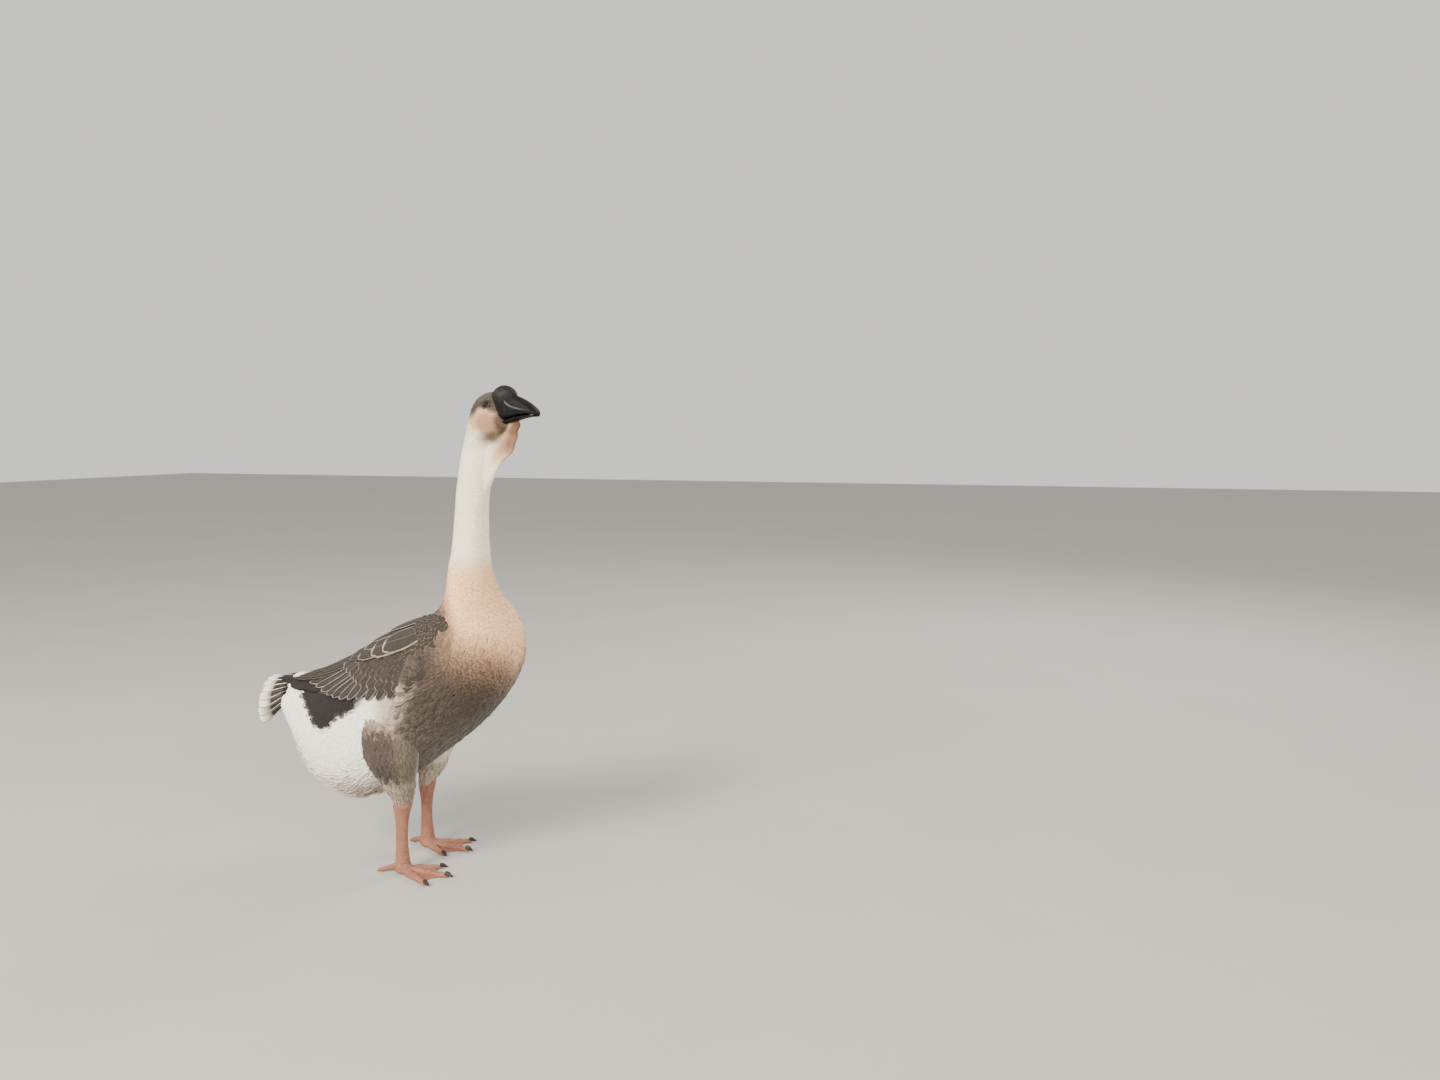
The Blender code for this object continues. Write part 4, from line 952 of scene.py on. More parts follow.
# Legs and thighs, given for the left side as centre (x, y, z) and half sizes along x and y.
legRows = {
    "thigh": np.array([
        (-0.012, 0.069, 0.302, 0.042, 0.031),
        (-0.008, 0.074, 0.258, 0.057, 0.037),
        (-0.006, 0.074, 0.215, 0.054, 0.036),
        (-0.002, 0.070, 0.182, 0.041, 0.031),
        (0.002, 0.065, 0.155, 0.028, 0.024),
        (0.003, 0.061, 0.136, 0.0190, 0.0180),
        (0.002, 0.060, 0.128, 0.0160, 0.0150),
    ]),
    "shank": np.array([
        (0.002, 0.060, 0.1277, 0.0150, 0.0130),
        (0.001, 0.060, 0.1180, 0.0168, 0.0142),
        (0.000, 0.060, 0.1060, 0.0150, 0.0122),
        (0.000, 0.060, 0.0850, 0.0115, 0.0092),
        (0.000, 0.060, 0.0550, 0.0108, 0.0088),
        (0.001, 0.060, 0.0320, 0.0120, 0.0105),
        (0.002, 0.060, 0.0180, 0.0132, 0.0122),
    ]),
}
legStride = {"right": 0.014, "left": -0.014}
sideOf = {"right": -1, "left": 1}


def legPoint(part, name):
    # level ellipses round a centre line; the thigh drifts to its own ankle as it goes down
    rows, stride, side = legRows[part], legStride[name], sideOf[name]

    def point(a, b):
        row = smoothRows(rows, a)
        drift = stride * (np.asarray(a) / (len(rows) - 1) if part == "thigh" else 1.0)
        x = row[..., 0] + drift + row[..., 3] * np.cos(b)
        y = side * (row[..., 1] + row[..., 4] * np.sin(side * b))
        return np.stack([x, y, row[..., 2] + 0 * x], axis=-1)
    return point


tailCoreRows = np.array([
    (-0.262, 0.2820, 0.0270, 0.0390),
    (-0.276, 0.2810, 0.0260, 0.0400),
    (-0.287, 0.2820, 0.0215, 0.0390),
    (-0.297, 0.2850, 0.0130, 0.0330),
    (-0.304, 0.2890, 0.0045, 0.0220),
])  # centre (x, z), half height and half width


def tailCorePoint(a, b):
    row = smoothRows(tailCoreRows, a)
    x = row[..., 0] + 0 * np.cos(b)
    return np.stack([x, row[..., 3] * np.sin(b), row[..., 1] + row[..., 2] * np.cos(b)], axis=-1)


wingCoreDepth, coreSpan = 0.0050, ((0.0, 0.90), (0.03, 0.84))


def coreHeight(a, b):
    # the wing's own thickness over the body: a swell that falls off to every edge
    (aLow, aHigh), (bLow, bHigh) = coreSpan
    along = np.clip((a - aLow) / (aHigh - aLow), 0, 1)
    across = np.clip((b - bLow) / (bHigh - bLow), 0, 1)
    swell = np.sin(math.pi * (0.05 + 0.92 * along)) ** 0.4 * np.sin(math.pi * (0.07 + 0.86 * across)) ** 0.5
    return 0.0010 + wingCoreDepth * swell


def overCore(a, b):
    # the core's height, run out to nothing past the wing's front and lower edges
    return coreHeight(a, b) * blendStep(-0.08, 0.04, a) * blendStep(1.04, 0.85, b)


skinLook = {"torsoDepth": 0.0034, "neckDepth": 0.0018, "headDepth": 0.0008, "thighDepth": 0.0022,
            "wingFloor": 0.0060, "rings": 330, "sides": 144}


def skinDepth(s):
    look = skinLook
    onNeck = blendStep(at["crop"], at["lowerNeck"], s)
    onHead = blendStep(at["neckTop"], at["nape"], s)
    depth = look["torsoDepth"] + (look["neckDepth"] - look["torsoDepth"]) * onNeck
    return depth + (look["headDepth"] - look["neckDepth"]) * onHead


def markings(s, phi, wobble):
    # the body's plumage, and above the throat the head's
    s, phi = np.broadcast_arrays(s, phi)
    base, edge = plumage(s, phi, wobble)
    faceBase, faceEdge = headPlumage(s, phi, wobble)
    upper = blendStep(at["upperNeck"], at["neckTop"], s)[..., None]
    return base + (faceBase - base) * upper, edge + (faceEdge - edge) * upper


def wholeGrid(low, high, rows, sides):
    return np.linspace(low, high, rows)[:, None], (np.arange(sides) * 2 * math.pi / sides)[None, :]


def skinFinish():
    material, tree, shader = newMaterial("skin plumage", 0.85, 0.2, 0.15)
    base = node(tree, "ShaderNodeAttribute", attribute_name="baseColour")
    blotch = node(tree, "ShaderNodeGroup", node_tree=blotchGroup)
    link(tree, base.outputs["Color"], blotch.inputs["Color"])
    blotch.inputs["Scale"].default_value = 320.0
    blotch.inputs["Amount"].default_value = 0.5
    link(tree, blotch.outputs["Color"], shader.inputs["Base Color"])
    bumpInto(tree, shader, blotch.outputs["Height"], 0.4, 0.0006)
    return material


def makeSkin():
    s, phi = wholeGrid(0, at["face"], skinLook["rings"], skinLook["sides"])
    body = bodySurface(s, phi, -skinDepth(s))
    bodyBase, _ = markings(s, phi, np.zeros(np.broadcast(s, phi).shape))
    parts, known = [tubeMesh(placed(body))], [(placed(body).reshape(-1, 3), bodyBase.reshape(-1, 3))]
    a, b = wholeGrid(0, 4, 24, 64)
    core = tailCorePoint(a, b)
    parts.append(tubeMesh(placed(core)))
    known.append((placed(core).reshape(-1, 3), np.broadcast_to(tone["white"], (core.size // 3, 3))))
    for name, side in sideOf.items():
        a, b = wholeGrid(0, 6, 48, 56)
        thigh = standing(legPoint("thigh", name))(a, b, -skinLook["thighDepth"])
        parts.append(tubeMesh(placed(thigh)))
        known.append((placed(thigh).reshape(-1, 3), np.broadcast_to(tone["thigh"], (thigh.size // 3, 3))))
        (aLow, aHigh), (bLow, bHigh) = coreSpan
        a, b = np.linspace(aLow, aHigh, 60)[:, None], np.linspace(bLow, bHigh, 40)[None, :]
        top = wingSurface(side)(a, b, coreHeight(a, b))
        low = wingSurface(side)(a, b, 0 * a * b - skinLook["wingFloor"])
        parts.append(slabMesh(placed(top), placed(low)))
        known.append((placed(top).reshape(-1, 3), np.broadcast_to(tone["greyBrown"], (top.size // 3, 3))))
    skin = united("skin", parts, skinFinish())
    spots = np.concatenate([k[0] for k in known])
    colours = np.concatenate([k[1] for k in known])
    tree = KDTree(len(spots))
    for i, spot in enumerate(spots):
        tree.insert(spot, i)
    tree.balance()
    nearest = np.array([tree.find(p)[1] for p in meshPoints(skin)])
    addColour(skin, "baseColour", colours[nearest])
    return finishPiece(skin, "breast_plumage", "torso", "neck", "head", "thigh_left", "thigh_right")


skin = makeSkin()
print("skin:", len(skin.data.polygons), "faces")


# Coats of the torso, neck and head.
def coatPiece(name, slotName, span, spacing, rowShare, lookName, form, finish, keep=None, seed=1, columns=3):
    s, phi, random = coatRoots(*span, spacing, rowShare, seed, keep)
    feathers = bodyFeathers(s, phi, random, coatLooks[lookName], markings)
    piece = buildVanes(name, bodySurface, feathers, form, featherFinish[finish], columns)
    finishPiece(piece, slotName, "torso")
    print(name, len(s), "feathers,", len(piece.data.polygons), "faces")
    return piece


def rearMask(s, phi):
    # where the plumage is white or slate behind, with a broken border
    points = bodyPoint(s, phi)
    random = np.random.default_rng(5)
    edge = points[..., 0] - 0.32 * (points[..., 2] - 0.13) + random.uniform(-0.012, 0.012, s.shape)
    angle = np.degrees(np.arccos(np.cos(phi)))
    wingLow = np.interp(s, wingRows[::-1, 1], wingRows[::-1, 3])
    return ((edge < -0.005) & (angle > wingLow - 16)) | (points[..., 0] < -0.20)


def lowRear(s, phi):
    return rearMask(s, phi) & (np.cos(phi) < -0.55)


def onBack(s, phi):
    return (np.cos(phi) > math.cos(math.radians(62))) & ~rearMask(s, phi)


coatPiece("rearCoat", "breast_plumage", (0.45, 5.9), 0.0050, 1.0, "rear", "round", "down",
          rearMask, 11)
coatPiece("ventTufts", "breast_plumage", (2.2, 5.0), 0.0078, 1.2, "ragged", "lock", "down", lowRear, 19)
coatPiece("backCoat", "breast_plumage", (0.6, 9.5), 0.0072, 1.0, "back", "round", "coverts",
          lambda s, phi: onBack(s, phi) & ~insideWing(s, phi), 12, 5)
coatPiece("flankCoat", "breast_plumage", (1.5, 7.6), 0.0054, 1.0, "flank", "round", "down",
          lambda s, phi: ~rearMask(s, phi) & ~onBack(s, phi) & ~insideWing(s, phi), 16)
coatPiece("breastCoat", "breast_plumage", (7.3, 10.3), 0.0046, 1.0, "breast", "round", "down",
          lambda s, phi: ~insideWing(s, phi) & ~(onBack(s, phi) & (s < 9.5)), 13)
coatPiece("collarCoat", "breast_plumage", (10.1, 12.6), 0.0040, 1.0, "breast", "round", "down", None, 17)
coatPiece("neckCoat", "neck_plumage", (12.2, 16.9), 0.0026, 1.2, "neck", "round", "down", None, 14)


eyeLook = {
    "place": 22.12,  # body station
    "angle": 72.0,  # degrees from the crown
    "radius": 0.0080,
    "sunk": 0.0052,
    "lid": 0.0064,
    "lidThick": 0.0011,
    "bare": 0.0071,  # radius of the ring without tufts
}


def offTheEye(s, phi):
    # keeps tufts off the eyes and their lids: no part of one may come nearer than the bare ring
    eyeSpot = bodyPoint(eyeLook["place"], math.radians(eyeLook["angle"]))
    rate, _ = mapRates(bodySurface, s, phi)
    clear = np.full(s.shape, True)
    for share in np.linspace(0, 1.1, 6):
        spot = bodyPoint(s - share * coatLooks["head"]["length"] / rate, phi)
        gap = np.stack([spot[:, 0] - eyeSpot[0], np.abs(spot[:, 1]) - eyeSpot[1], spot[:, 2] - eyeSpot[2]])
        clear &= np.linalg.norm(gap, axis=0) > eyeLook["bare"]
    return clear


coatPiece("headCoat", "face_plumage", (16.7, 22.95), 0.0019, 1.1, "head", "lock", "velvet", offTheEye, 15)


# Feathers rooted anywhere on a surface, given as arrays of roots and tips in the surface's map.
def featherSet(random, root, tip, look, base, edge, cell, cellSize):
    count = len(root)
    tint = (1 + look["tint"] * random.normal(0, 1, count))[:, None]
    return {
        "root": root,
        "tip": tip,
        "half": look["half"] * random.uniform(0.92, 1.08, count),
        "low": np.broadcast_to(look["low"], (count,)).astype(float),
        "high": np.broadcast_to(look["high"], (count,)) + look["lift"] * random.uniform(0, 1, count) ** 2,
        "roll": np.radians(look["roll"]) + np.radians(1.5) * random.normal(0, 1, count),
        "dome": np.full(count, look["dome"]),
        "thick": np.full(count, look["thick"]),
        "bow": look["bow"] * look["half"] * np.ones(count),
        "base": np.clip(np.broadcast_to(base, (count, 3)) * tint, 0, 0.92),
        "edge": np.clip(np.broadcast_to(edge, (count, 3)) * tint, 0, 0.92),
        "cell": cell,
        "cellSize": np.full(count, cellSize),
    }


# The groups of a folded wing: tips and roots are curves in the wing's map, from its end to its
# front, and count feathers stand along them. Further rows are moved by step. high gives the
# heights of the first and last tip, climb what each row adds to them, and roll is in degrees.
# A larger rise lifts the tips late, and fade dulls the pale edges towards the front.
wingGroups = {
    "primaries": dict(
        count=6, tips=((1.39, 0.50), (1.16, 0.90)), roots=((0.86, 0.36), (0.72, 0.62)), half=0.0078,
        high=(0.0100, 0.0050), rise=2.5, roll=5, form="blade", base="slate", edge="slateEdge",
        finish="quills"),
    "secondaries": dict(
        count=13, tips=((1.10, 0.60), (0.93, 0.72), (0.83, 0.82), (0.75, 0.86), (0.66, 0.865), (0.56, 0.87),
                        (0.46, 0.91), (0.34, 0.98)),
        roots=((0.72, 0.22), (0.63, 0.22), (0.58, 0.31), (0.53, 0.35), (0.50, 0.38), (0.44, 0.42),
               (0.38, 0.48), (0.28, 0.56)),
        half=0.0092, high=(0.0060, 0.0050), roll=6, form="blade", base="quill", edge="quillEdge", fade=0.60,
        finish="quills"),
    "greaterCoverts": dict(
        count=13, tips=((0.78, 0.28), (0.74, 0.43), (0.68, 0.57), (0.62, 0.66), (0.55, 0.745), (0.46, 0.83),
                        (0.39, 0.89), (0.34, 0.93)),
        roots=((0.60, 0.12), (0.58, 0.22), (0.54, 0.34), (0.50, 0.42), (0.45, 0.50), (0.38, 0.58),
               (0.32, 0.66), (0.28, 0.72)),
        half=0.0108, high=(0.0076, 0.0064), roll=4, form="square", base="covert", edge="covertEdge",
        fade=0.75, finish="coverts"),
    "medianCoverts": dict(
        count=13, tips=((0.72, 0.26), (0.68, 0.38), (0.63, 0.52), (0.57, 0.60), (0.51, 0.665), (0.45, 0.72),
                        (0.39, 0.79), (0.33, 0.87)),
        roots=((0.58, 0.12), (0.56, 0.20), (0.52, 0.32), (0.47, 0.40), (0.42, 0.46), (0.37, 0.52),
               (0.32, 0.60), (0.27, 0.69)),
        half=0.0096, high=(0.0084, 0.0074), roll=3, form="square", soft=0.3, base="covert", edge="softEdge",
        fade=0.60, finish="coverts"),
    "lesserCoverts": dict(
        count=13, rows=5, step=(-0.012, -0.055), climb=0.0002,
        tips=((0.68, 0.22), (0.62, 0.40), (0.54, 0.56), (0.46, 0.66), (0.38, 0.74), (0.30, 0.86)),
        roots=((0.61, 0.13), (0.56, 0.28), (0.48, 0.43), (0.40, 0.52), (0.32, 0.60), (0.24, 0.73)),
        half=0.0078, high=(0.0088, 0.0078), roll=3, form="round", soft=0.5, base="covert", edge="dullEdge",
        finish="coverts"),
    "sideCoverts": dict(
        count=11, rows=10, step=(-0.044, -0.002), tips=((0.395, 1.03), (0.335, 0.58)),
        roots=((0.315, 0.99), (0.255, 0.55)), half=0.0066, roll=2, form="round", soft=0.8, base="body",
        finish="down"),
    "shoulderCoverts": dict(
        count=11, rows=11, step=(-0.037, 0.004), climb=-0.00062, tips=((0.350, 0.57), (0.37, -0.03)),
        roots=((0.285, 0.53), (0.305, -0.04)), half=0.0060, high=(0.0098, 0.0104), roll=3, form="round",
        soft=0.6, base="shoulder", edge="shoulderEdge", finish="coverts"),
    "tertials": dict(
        count=5, tips=((1.18, 0.42), (1.16, 0.28), (1.14, 0.14), (1.10, 0.0)),
        roots=((0.66, 0.26), (0.62, 0.16), (0.58, 0.08), (0.54, 0.0)), half=0.0120, high=(0.0078, 0.0096),
        roll=-4, form="blade", base="quill", edge="dullEdge", finish="quills"),
    "hindScapulars": dict(
        count=3, tips=((0.76, 0.20), (0.74, 0.06)), roots=((0.50, 0.12), (0.48, 0.0)), half=0.0150,
        high=(0.0098, 0.0104), roll=-3, form="square", base="smooth", edge="softEdge", finish="coverts"),
    "rearScapulars": dict(
        count=2, tips=((0.685, 0.24), (0.68, 0.08)), roots=((0.40, 0.18), (0.38, 0.02)), half=0.0185,
        high=(0.0104, 0.0110), roll=-3, form="square", base="smooth", edge="covertEdge", finish="coverts"),
    "midScapulars": dict(
        count=1, tips=((0.600, 0.22), (0.600, 0.22)), roots=((0.26, 0.16), (0.26, 0.16)), half=0.0265,
        high=(0.0114, 0.0114), roll=-2, form="square", base="covert", edge="paleEdge", finish="coverts"),
    "foreScapulars": dict(
        count=1, tips=((0.530, 0.25), (0.530, 0.25)), roots=((0.20, 0.18), (0.20, 0.18)), half=0.0245,
        high=(0.0122, 0.0122), roll=-2, form="square", base="smooth", edge="paleEdge", finish="coverts"),
    "topScapulars": dict(
        count=2, tips=((0.655, 0.00), (0.56, -0.06)), roots=((0.34, -0.02), (0.24, -0.10)), half=0.0115,
        high=(0.0118, 0.0126), roll=-3, form="blade", base="covert", edge="paleEdge", finish="coverts"),
}
wingTone = {
    "slate": tone["slate"] * 1.5,
    "slateEdge": tone["slate"] * 2.4,
    "covert": np.array((0.031, 0.022, 0.0155)),
    "quill": np.array((0.026, 0.020, 0.0165)),
    "smooth": np.array((0.029, 0.0225, 0.0165)),
    "shoulder": np.array((0.026, 0.018, 0.011)),
    "shoulderEdge": np.array((0.190, 0.150, 0.110)),
    "dullEdge": np.array((0.095, 0.075, 0.057)),
    "softEdge": np.array((0.150, 0.122, 0.096)),
    "covertEdge": np.array((0.30, 0.25, 0.20)),
    "quillEdge": np.array((0.56, 0.51, 0.44)),
    "paleEdge": np.array((0.46, 0.41, 0.34)),
}


def makeWing(name, side):
    random = np.random.default_rng(31)  # the same for both sides, so that they mirror
    surface = wingSurface(side)
    for order, (label, group) in enumerate(wingGroups.items()):
        rows, step = group.get("rows", 1), np.array(group.get("step", (0, 0)))
        share = np.tile(np.linspace(0, 1, group["count"]), rows)
        row = np.repeat(np.arange(rows), group["count"])
        share = share + 0.5 * (row % 2) / max(group["count"], 2)
        last = len(group["tips"]) - 1
        tip = smoothRows(group["tips"], share * last) + row[:, None] * step
        root = smoothRows(group["roots"], share * last) + row[:, None] * step
        scatter = np.array((0.004, 0.008)) * (1.8 if group["finish"] == "coverts" and rows > 1 else 1.0)
        tip = tip + random.normal(0, 1, tip.shape) * scatter
        root = root + random.normal(0, 1, tip.shape) * scatter
        root[:, 0] = np.maximum(root[:, 0], -0.15)
        onBody = group["base"] == "body"
        if onBody:
            # low over the body, and the first rows lifted over the coverts behind them
            rootHeight = overCore(*root.T) - 0.0010
            high = overCore(*tip.T) + 0.0014 + 0.0034 * np.clip(1 - row / 4, 0, 1)
        else:
            rootHeight = coreHeight(*root.T) - 0.0016
            high = group["high"][0] * (1 - share) + group["high"][1] * share + group.get("climb", 0.0) * row
        soft = group.get("soft", 0.0)
        look = dict(half=group["half"], low=rootHeight, high=high, lift=0.0003, roll=side * group["roll"],
                    dome=0.0007 * (1 - soft), thick=0.0005 * (1 - 0.6 * soft), bow=-0.20 * side, tint=0.08)
        cell = np.stack([0.05 + 0.070 * (np.arange(len(tip)) % 13), 0.03 + 0.065 * order + 0.004 * row], 1)
        if onBody:
            base, _ = plumage(*wingPlace(*(root + 0.6 * (tip - root)).T), random.normal(0, 1, len(tip)))
            edge = base * 1.5
        else:
            base, edge = wingTone[group["base"]], wingTone[group["edge"]]
            fade = group.get("fade", 0.0) * share[:, None]
            edge = edge + fade * (wingTone["dullEdge"] - edge)
        feathers = featherSet(random, root, tip, look, base, edge, cell, quillPatch)
        feathers["soft"], feathers["rise"] = soft, group.get("rise", 0.8)
        piece = buildVanes(f"{label}_{name}", surface, feathers, group["form"],
                           featherFinish[group["finish"]], 7)
        finishPiece(piece, "wing_plumage", f"wing_{name}")


for name, side in sideOf.items():
    makeWing(name, side)
print("wings made")

# The tail: roots and tips of each row stand on roof-shaped arches, given as (x, z, radii across
# and up). The outer feathers reach less far back by the last number.
tailGroups = {
    "rectrices": dict(count=15, spread=100, root=(-0.248, 0.283, 0.0435, 0.030),
                      tip=(-0.321, 0.250, 0.054, 0.060),
                      half=0.0090, roll=6, shorter=0.022, form="square", base="tail", tipStart=0.68),
    "tailCoverts": dict(count=13, spread=96, root=(-0.228, 0.284, 0.046, 0.031),
                        tip=(-0.252, 0.283, 0.046, 0.036),
                        half=0.0100, roll=4, shorter=0.006, form="round", base="white", tipStart=0.5),
    "rumpCoverts": dict(count=11, spread=52, root=(-0.225, 0.288, 0.040, 0.026),
                        tip=(-0.257, 0.288, 0.042, 0.032),
                        half=0.0090, roll=4, shorter=0.004, form="round", base="white", tipStart=0.5),
    "underTail": dict(count=9, spread=56, root=(-0.246, 0.280, 0.038, -0.030),
                      tip=(-0.294, 0.262, 0.040, -0.012),
                      half=0.0095, roll=4, shorter=0.010, form="round", base="white", tipStart=0.5),
}


def tailSurface(group):
    # a runs from the root arch to the tip arch and b is the angle round them
    rootEnd, tipEnd = np.array(group["root"]), np.array(group["tip"])

    def point(a, b):
        row = rootEnd + np.asarray(a)[..., None] * (tipEnd - rootEnd)
        out = np.abs(np.asarray(b) / math.radians(group["spread"]))
        x = row[..., 0] + np.asarray(a) * group["shorter"] * (out**2 + 0.02) ** 0.3
        return np.stack([x, row[..., 2] * np.sin(b), row[..., 1] + row[..., 3] * np.cos(b)], axis=-1)
    surface = standing(point)
    halfway, top = np.array([0.5]), np.array([0.0])
    probe = surface(halfway, top, np.array([1e-3])) - point(halfway, top)
    outwards = math.copysign(1.0, probe[0, 2] * group["root"][3])
    return lambda a, b, height: surface(a, b, outwards * np.asarray(height))


def makeTail():
    random = np.random.default_rng(41)
    for order, (label, group) in enumerate(tailGroups.items()):
        count = group["count"]
        out = np.linspace(-1, 1, count)
        angle = math.radians(group["spread"]) * out
        root = np.stack([np.zeros(count), angle], 1)
        tip = np.stack([1 + 0.02 * random.normal(0, 1, count), angle * 1.01], 1)
        look = dict(half=group["half"], low=0.0, high=0.0016 - 0.0020 * np.abs(out), lift=0.0004, roll=0.0,
                    dome=0.0012, thick=0.0006, bow=0.0, tint=0.04)
        cell = np.stack([0.05 + 0.06 * np.arange(count), np.full(count, 0.1 + 0.2 * order)], 1)
        feathers = featherSet(random, root, tip, look, tone[group["base"]], tone["white"], cell, quillPatch)
        feathers["roll"] = np.radians(group["roll"]) * -np.sign(out) * np.sign(group["root"][3])
        feathers["tipBase"] = np.broadcast_to(tone["white"], (count, 3))
        feathers["tipStart"] = np.full(count, group["tipStart"]) + 0.03 * random.normal(0, 1, count)
        finish = featherFinish["quills" if label == "rectrices" else "down"]
        piece = buildVanes(label, tailSurface(group), feathers, group["form"], finish, 7)
        finishPiece(piece, "tail_plumage", "tail")


makeTail()
print("tail made")


def coverSurface(name, slotName, surface, spanA, spacing, look, form, finish, colours, seed, keep=None,
                 replaced=()):
    # tufts all round a tube-like surface, whose map is (a, angle), pointing towards larger a
    random = np.random.default_rng(seed)
    fine = np.linspace(*spanA, 200)
    line = surface(fine, np.full(200, math.pi / 2), np.zeros(200))
    length = runLength(line)
    rows = max(int(length[-1] / spacing), 2)
    places = np.interp(np.linspace(0, length[-1], rows), length, fine)
    turn = np.linspace(0, 2 * math.pi, 97)
    aList, bList = [], []
    for number, a in enumerate(places):
        ring = surface(np.full(97, a), turn, np.zeros(97))
        arcs = runLength(ring)
        count = max(int(arcs[-1] / spacing), 6)
        marks = (np.arange(count) + 0.5 * (number % 2) + random.uniform(-0.2, 0.2, count)) / count
        aList.append(np.full(count, a) + random.uniform(-0.25, 0.25, count) * (places[1] - places[0]))
        bList.append(np.interp((marks % 1) * arcs[-1], arcs, turn))
    a, b = np.concatenate(aList), np.concatenate(bList)
    if keep is not None:
        wanted = keep(a, b)
        a, b = a[wanted], b[wanted]
    count = len(a)
    rateA, rateB = mapRates(surface, a, b)
    long = look["length"] * random.uniform(0.85, 1.15, count)
    lean = np.radians(look["scatter"]) * random.normal(0, 1, count)
    root = np.stack([a, b], 1)
    tip = root + np.stack([long * np.cos(lean) / rateA, long * np.sin(lean) / rateB], 1)
    tip[:, 0] = np.minimum(tip[:, 0], look.get("stop", 1e3))
    base, edge = colours(a, b, surface(a, b, np.zeros(count)), random)
    cell = unwrapped((a - spanA[0]) / (spanA[1] - spanA[0]), b)
    look = dict(look, bow=0.0)
    feathers = featherSet(random, root, tip, look, base, edge, cell, tuftPatch)
    feathers["roll"] = np.radians(look["roll"]) * random.normal(0, 1, count)
    feathers["soft"] = look.get("soft", 0.0)
    piece = buildVanes(name, surface, feathers, form, featherFinish[finish])
    print(name, count, "feathers,", len(piece.data.polygons), "faces")
    return finishPiece(piece, slotName, *replaced)


thighLook = dict(stop=6.3, length=0.017, half=0.0032, low=-0.0016, high=0.0003, lift=0.0010, roll=4,
                 dome=0.0004, thick=0.0003, scatter=9, tint=0.07, soft=0.7)
hockLook = dict(stop=6.9, length=0.015, half=0.0013, low=-0.0006, high=0.0008, lift=0.0030, roll=10,
                dome=0.0003, thick=0.0003, scatter=14, tint=0.10)


def thighColours(side):
    # grey-brown, duller and greener in front on the right thigh and pale in front on the left one as painted
    # light against the belly's shadow, with a pale band above and pale tufts at the hock
    def colours(a, b, points, random):
        a = a + 0.14 * random.normal(0, 1, len(a))
        front = blendStep(0.2, 0.9, np.cos(b))
        top = blendStep(1.1, 0.2, a) * blendStep(0.95, 0.4, np.cos(b))
        hock = blendStep(2.9, 3.7, a) * (1 - 0.45 * front)
        inner = blendStep(0.1, -0.6, np.sin(side * b))
        base = layered(
            np.ones(len(a))[:, None] * tone["thigh"],
            (blendStep(1.9, 2.9, a) * 0.8, tone["thighLow"]),
            # the left thigh's front takes the pale inner tone: painted light that lifts the shadow the belly
            # casts on it
            (front * 0.8, tone["thighFront"] if side < 0 else tone["innerThigh"]),
            (inner * 0.9, tone["innerThigh"]),
            (top * 0.9, tone["thighBand"]),
            (hock, tone["hock"]),
        )
        return base, base * 1.15
    return colours


def makeThighCoats():
    s, phi = wholeGrid(0, at["neckRoot"], 160, 96)
    points, faces = tubeMesh(placed(bodySurface(s, phi, -0.001)))
    shape = BVHTree.FromPolygons([tuple(p) for p in points], faces.tolist())
    for name in sideOf:
        surface = standing(legPoint("thigh", name))

        def outside(a, b):
            spots = placed(surface(a, b, np.zeros(len(a))))
            wanted = []
            for spot in spots:
                near, normal, _, _ = shape.find_nearest(Vector(spot))
                wanted.append((Vector(spot) - near).dot(normal) > -0.004)
            return np.array(wanted)

        colours = thighColours(sideOf[name])
        coverSurface(f"thighCoat_{name}", "thigh_plumage", surface, (0.05, 5.7), 0.0042, thighLook, "round",
                     "down", colours, 51, outside, (f"thigh_{name}",))
        coverSurface(f"hockFringe_{name}", "thigh_plumage", surface, (3.6, 5.95), 0.0030, hockLook, "lock",
                     "down", colours, 52, outside, (f"thigh_{name}",))


makeThighCoats()


# Bill, knob and eyes.
def hornFinish(name, colour, lighter, scale, roughness, marked=False):
    # dark horn: fine blotches that also vary the roughness, long faint growth lines and paler worn patches
    # here and there
    material, tree, shader = newMaterial(name, roughness, 0.12, 0.0, 0.0)
    blotch = node(tree, "ShaderNodeGroup", node_tree=blotchGroup)
    blotch.inputs["Color"].default_value = (*colour, 1)
    blotch.inputs["Scale"].default_value = scale
    blotch.inputs["Amount"].default_value = 0.6
    blotch.inputs["Stretch"].default_value = (0.4, 1.0, 1.0)
    spot = node(tree, "ShaderNodeTexCoord")
    dust = node(tree, "ShaderNodeTexNoise")
    dust.inputs["Scale"].default_value = 60.0
    dust.inputs["Detail"].default_value = 4.0
    link(tree, spot.outputs["Object"], dust.inputs["Vector"])
    mask = ramp(tree, dust.outputs["Fac"], 0.48, 0.75)
    colourOut = mixColour(tree, maths(tree, "MULTIPLY", mask, 0.5), blotch.outputs["Color"], lighter)
    # the pale line along the bill's side is a painted highlight, read from a point attribute
    if marked:
        mark = node(tree, "ShaderNodeAttribute", attribute_name="mark")
        colourOut = mixColour(tree, mark.outputs["Fac"], colourOut, billLook["highlightTone"])
    link(tree, colourOut, shader.inputs["Base Color"])
    rough = maths(tree, "MULTIPLY_ADD", blotch.outputs["Height"], 0.25, roughness - 0.12)
    link(tree, rough, shader.inputs["Roughness"])
    bumpInto(tree, shader, blotch.outputs["Height"], 0.25, 0.0004)
    return material


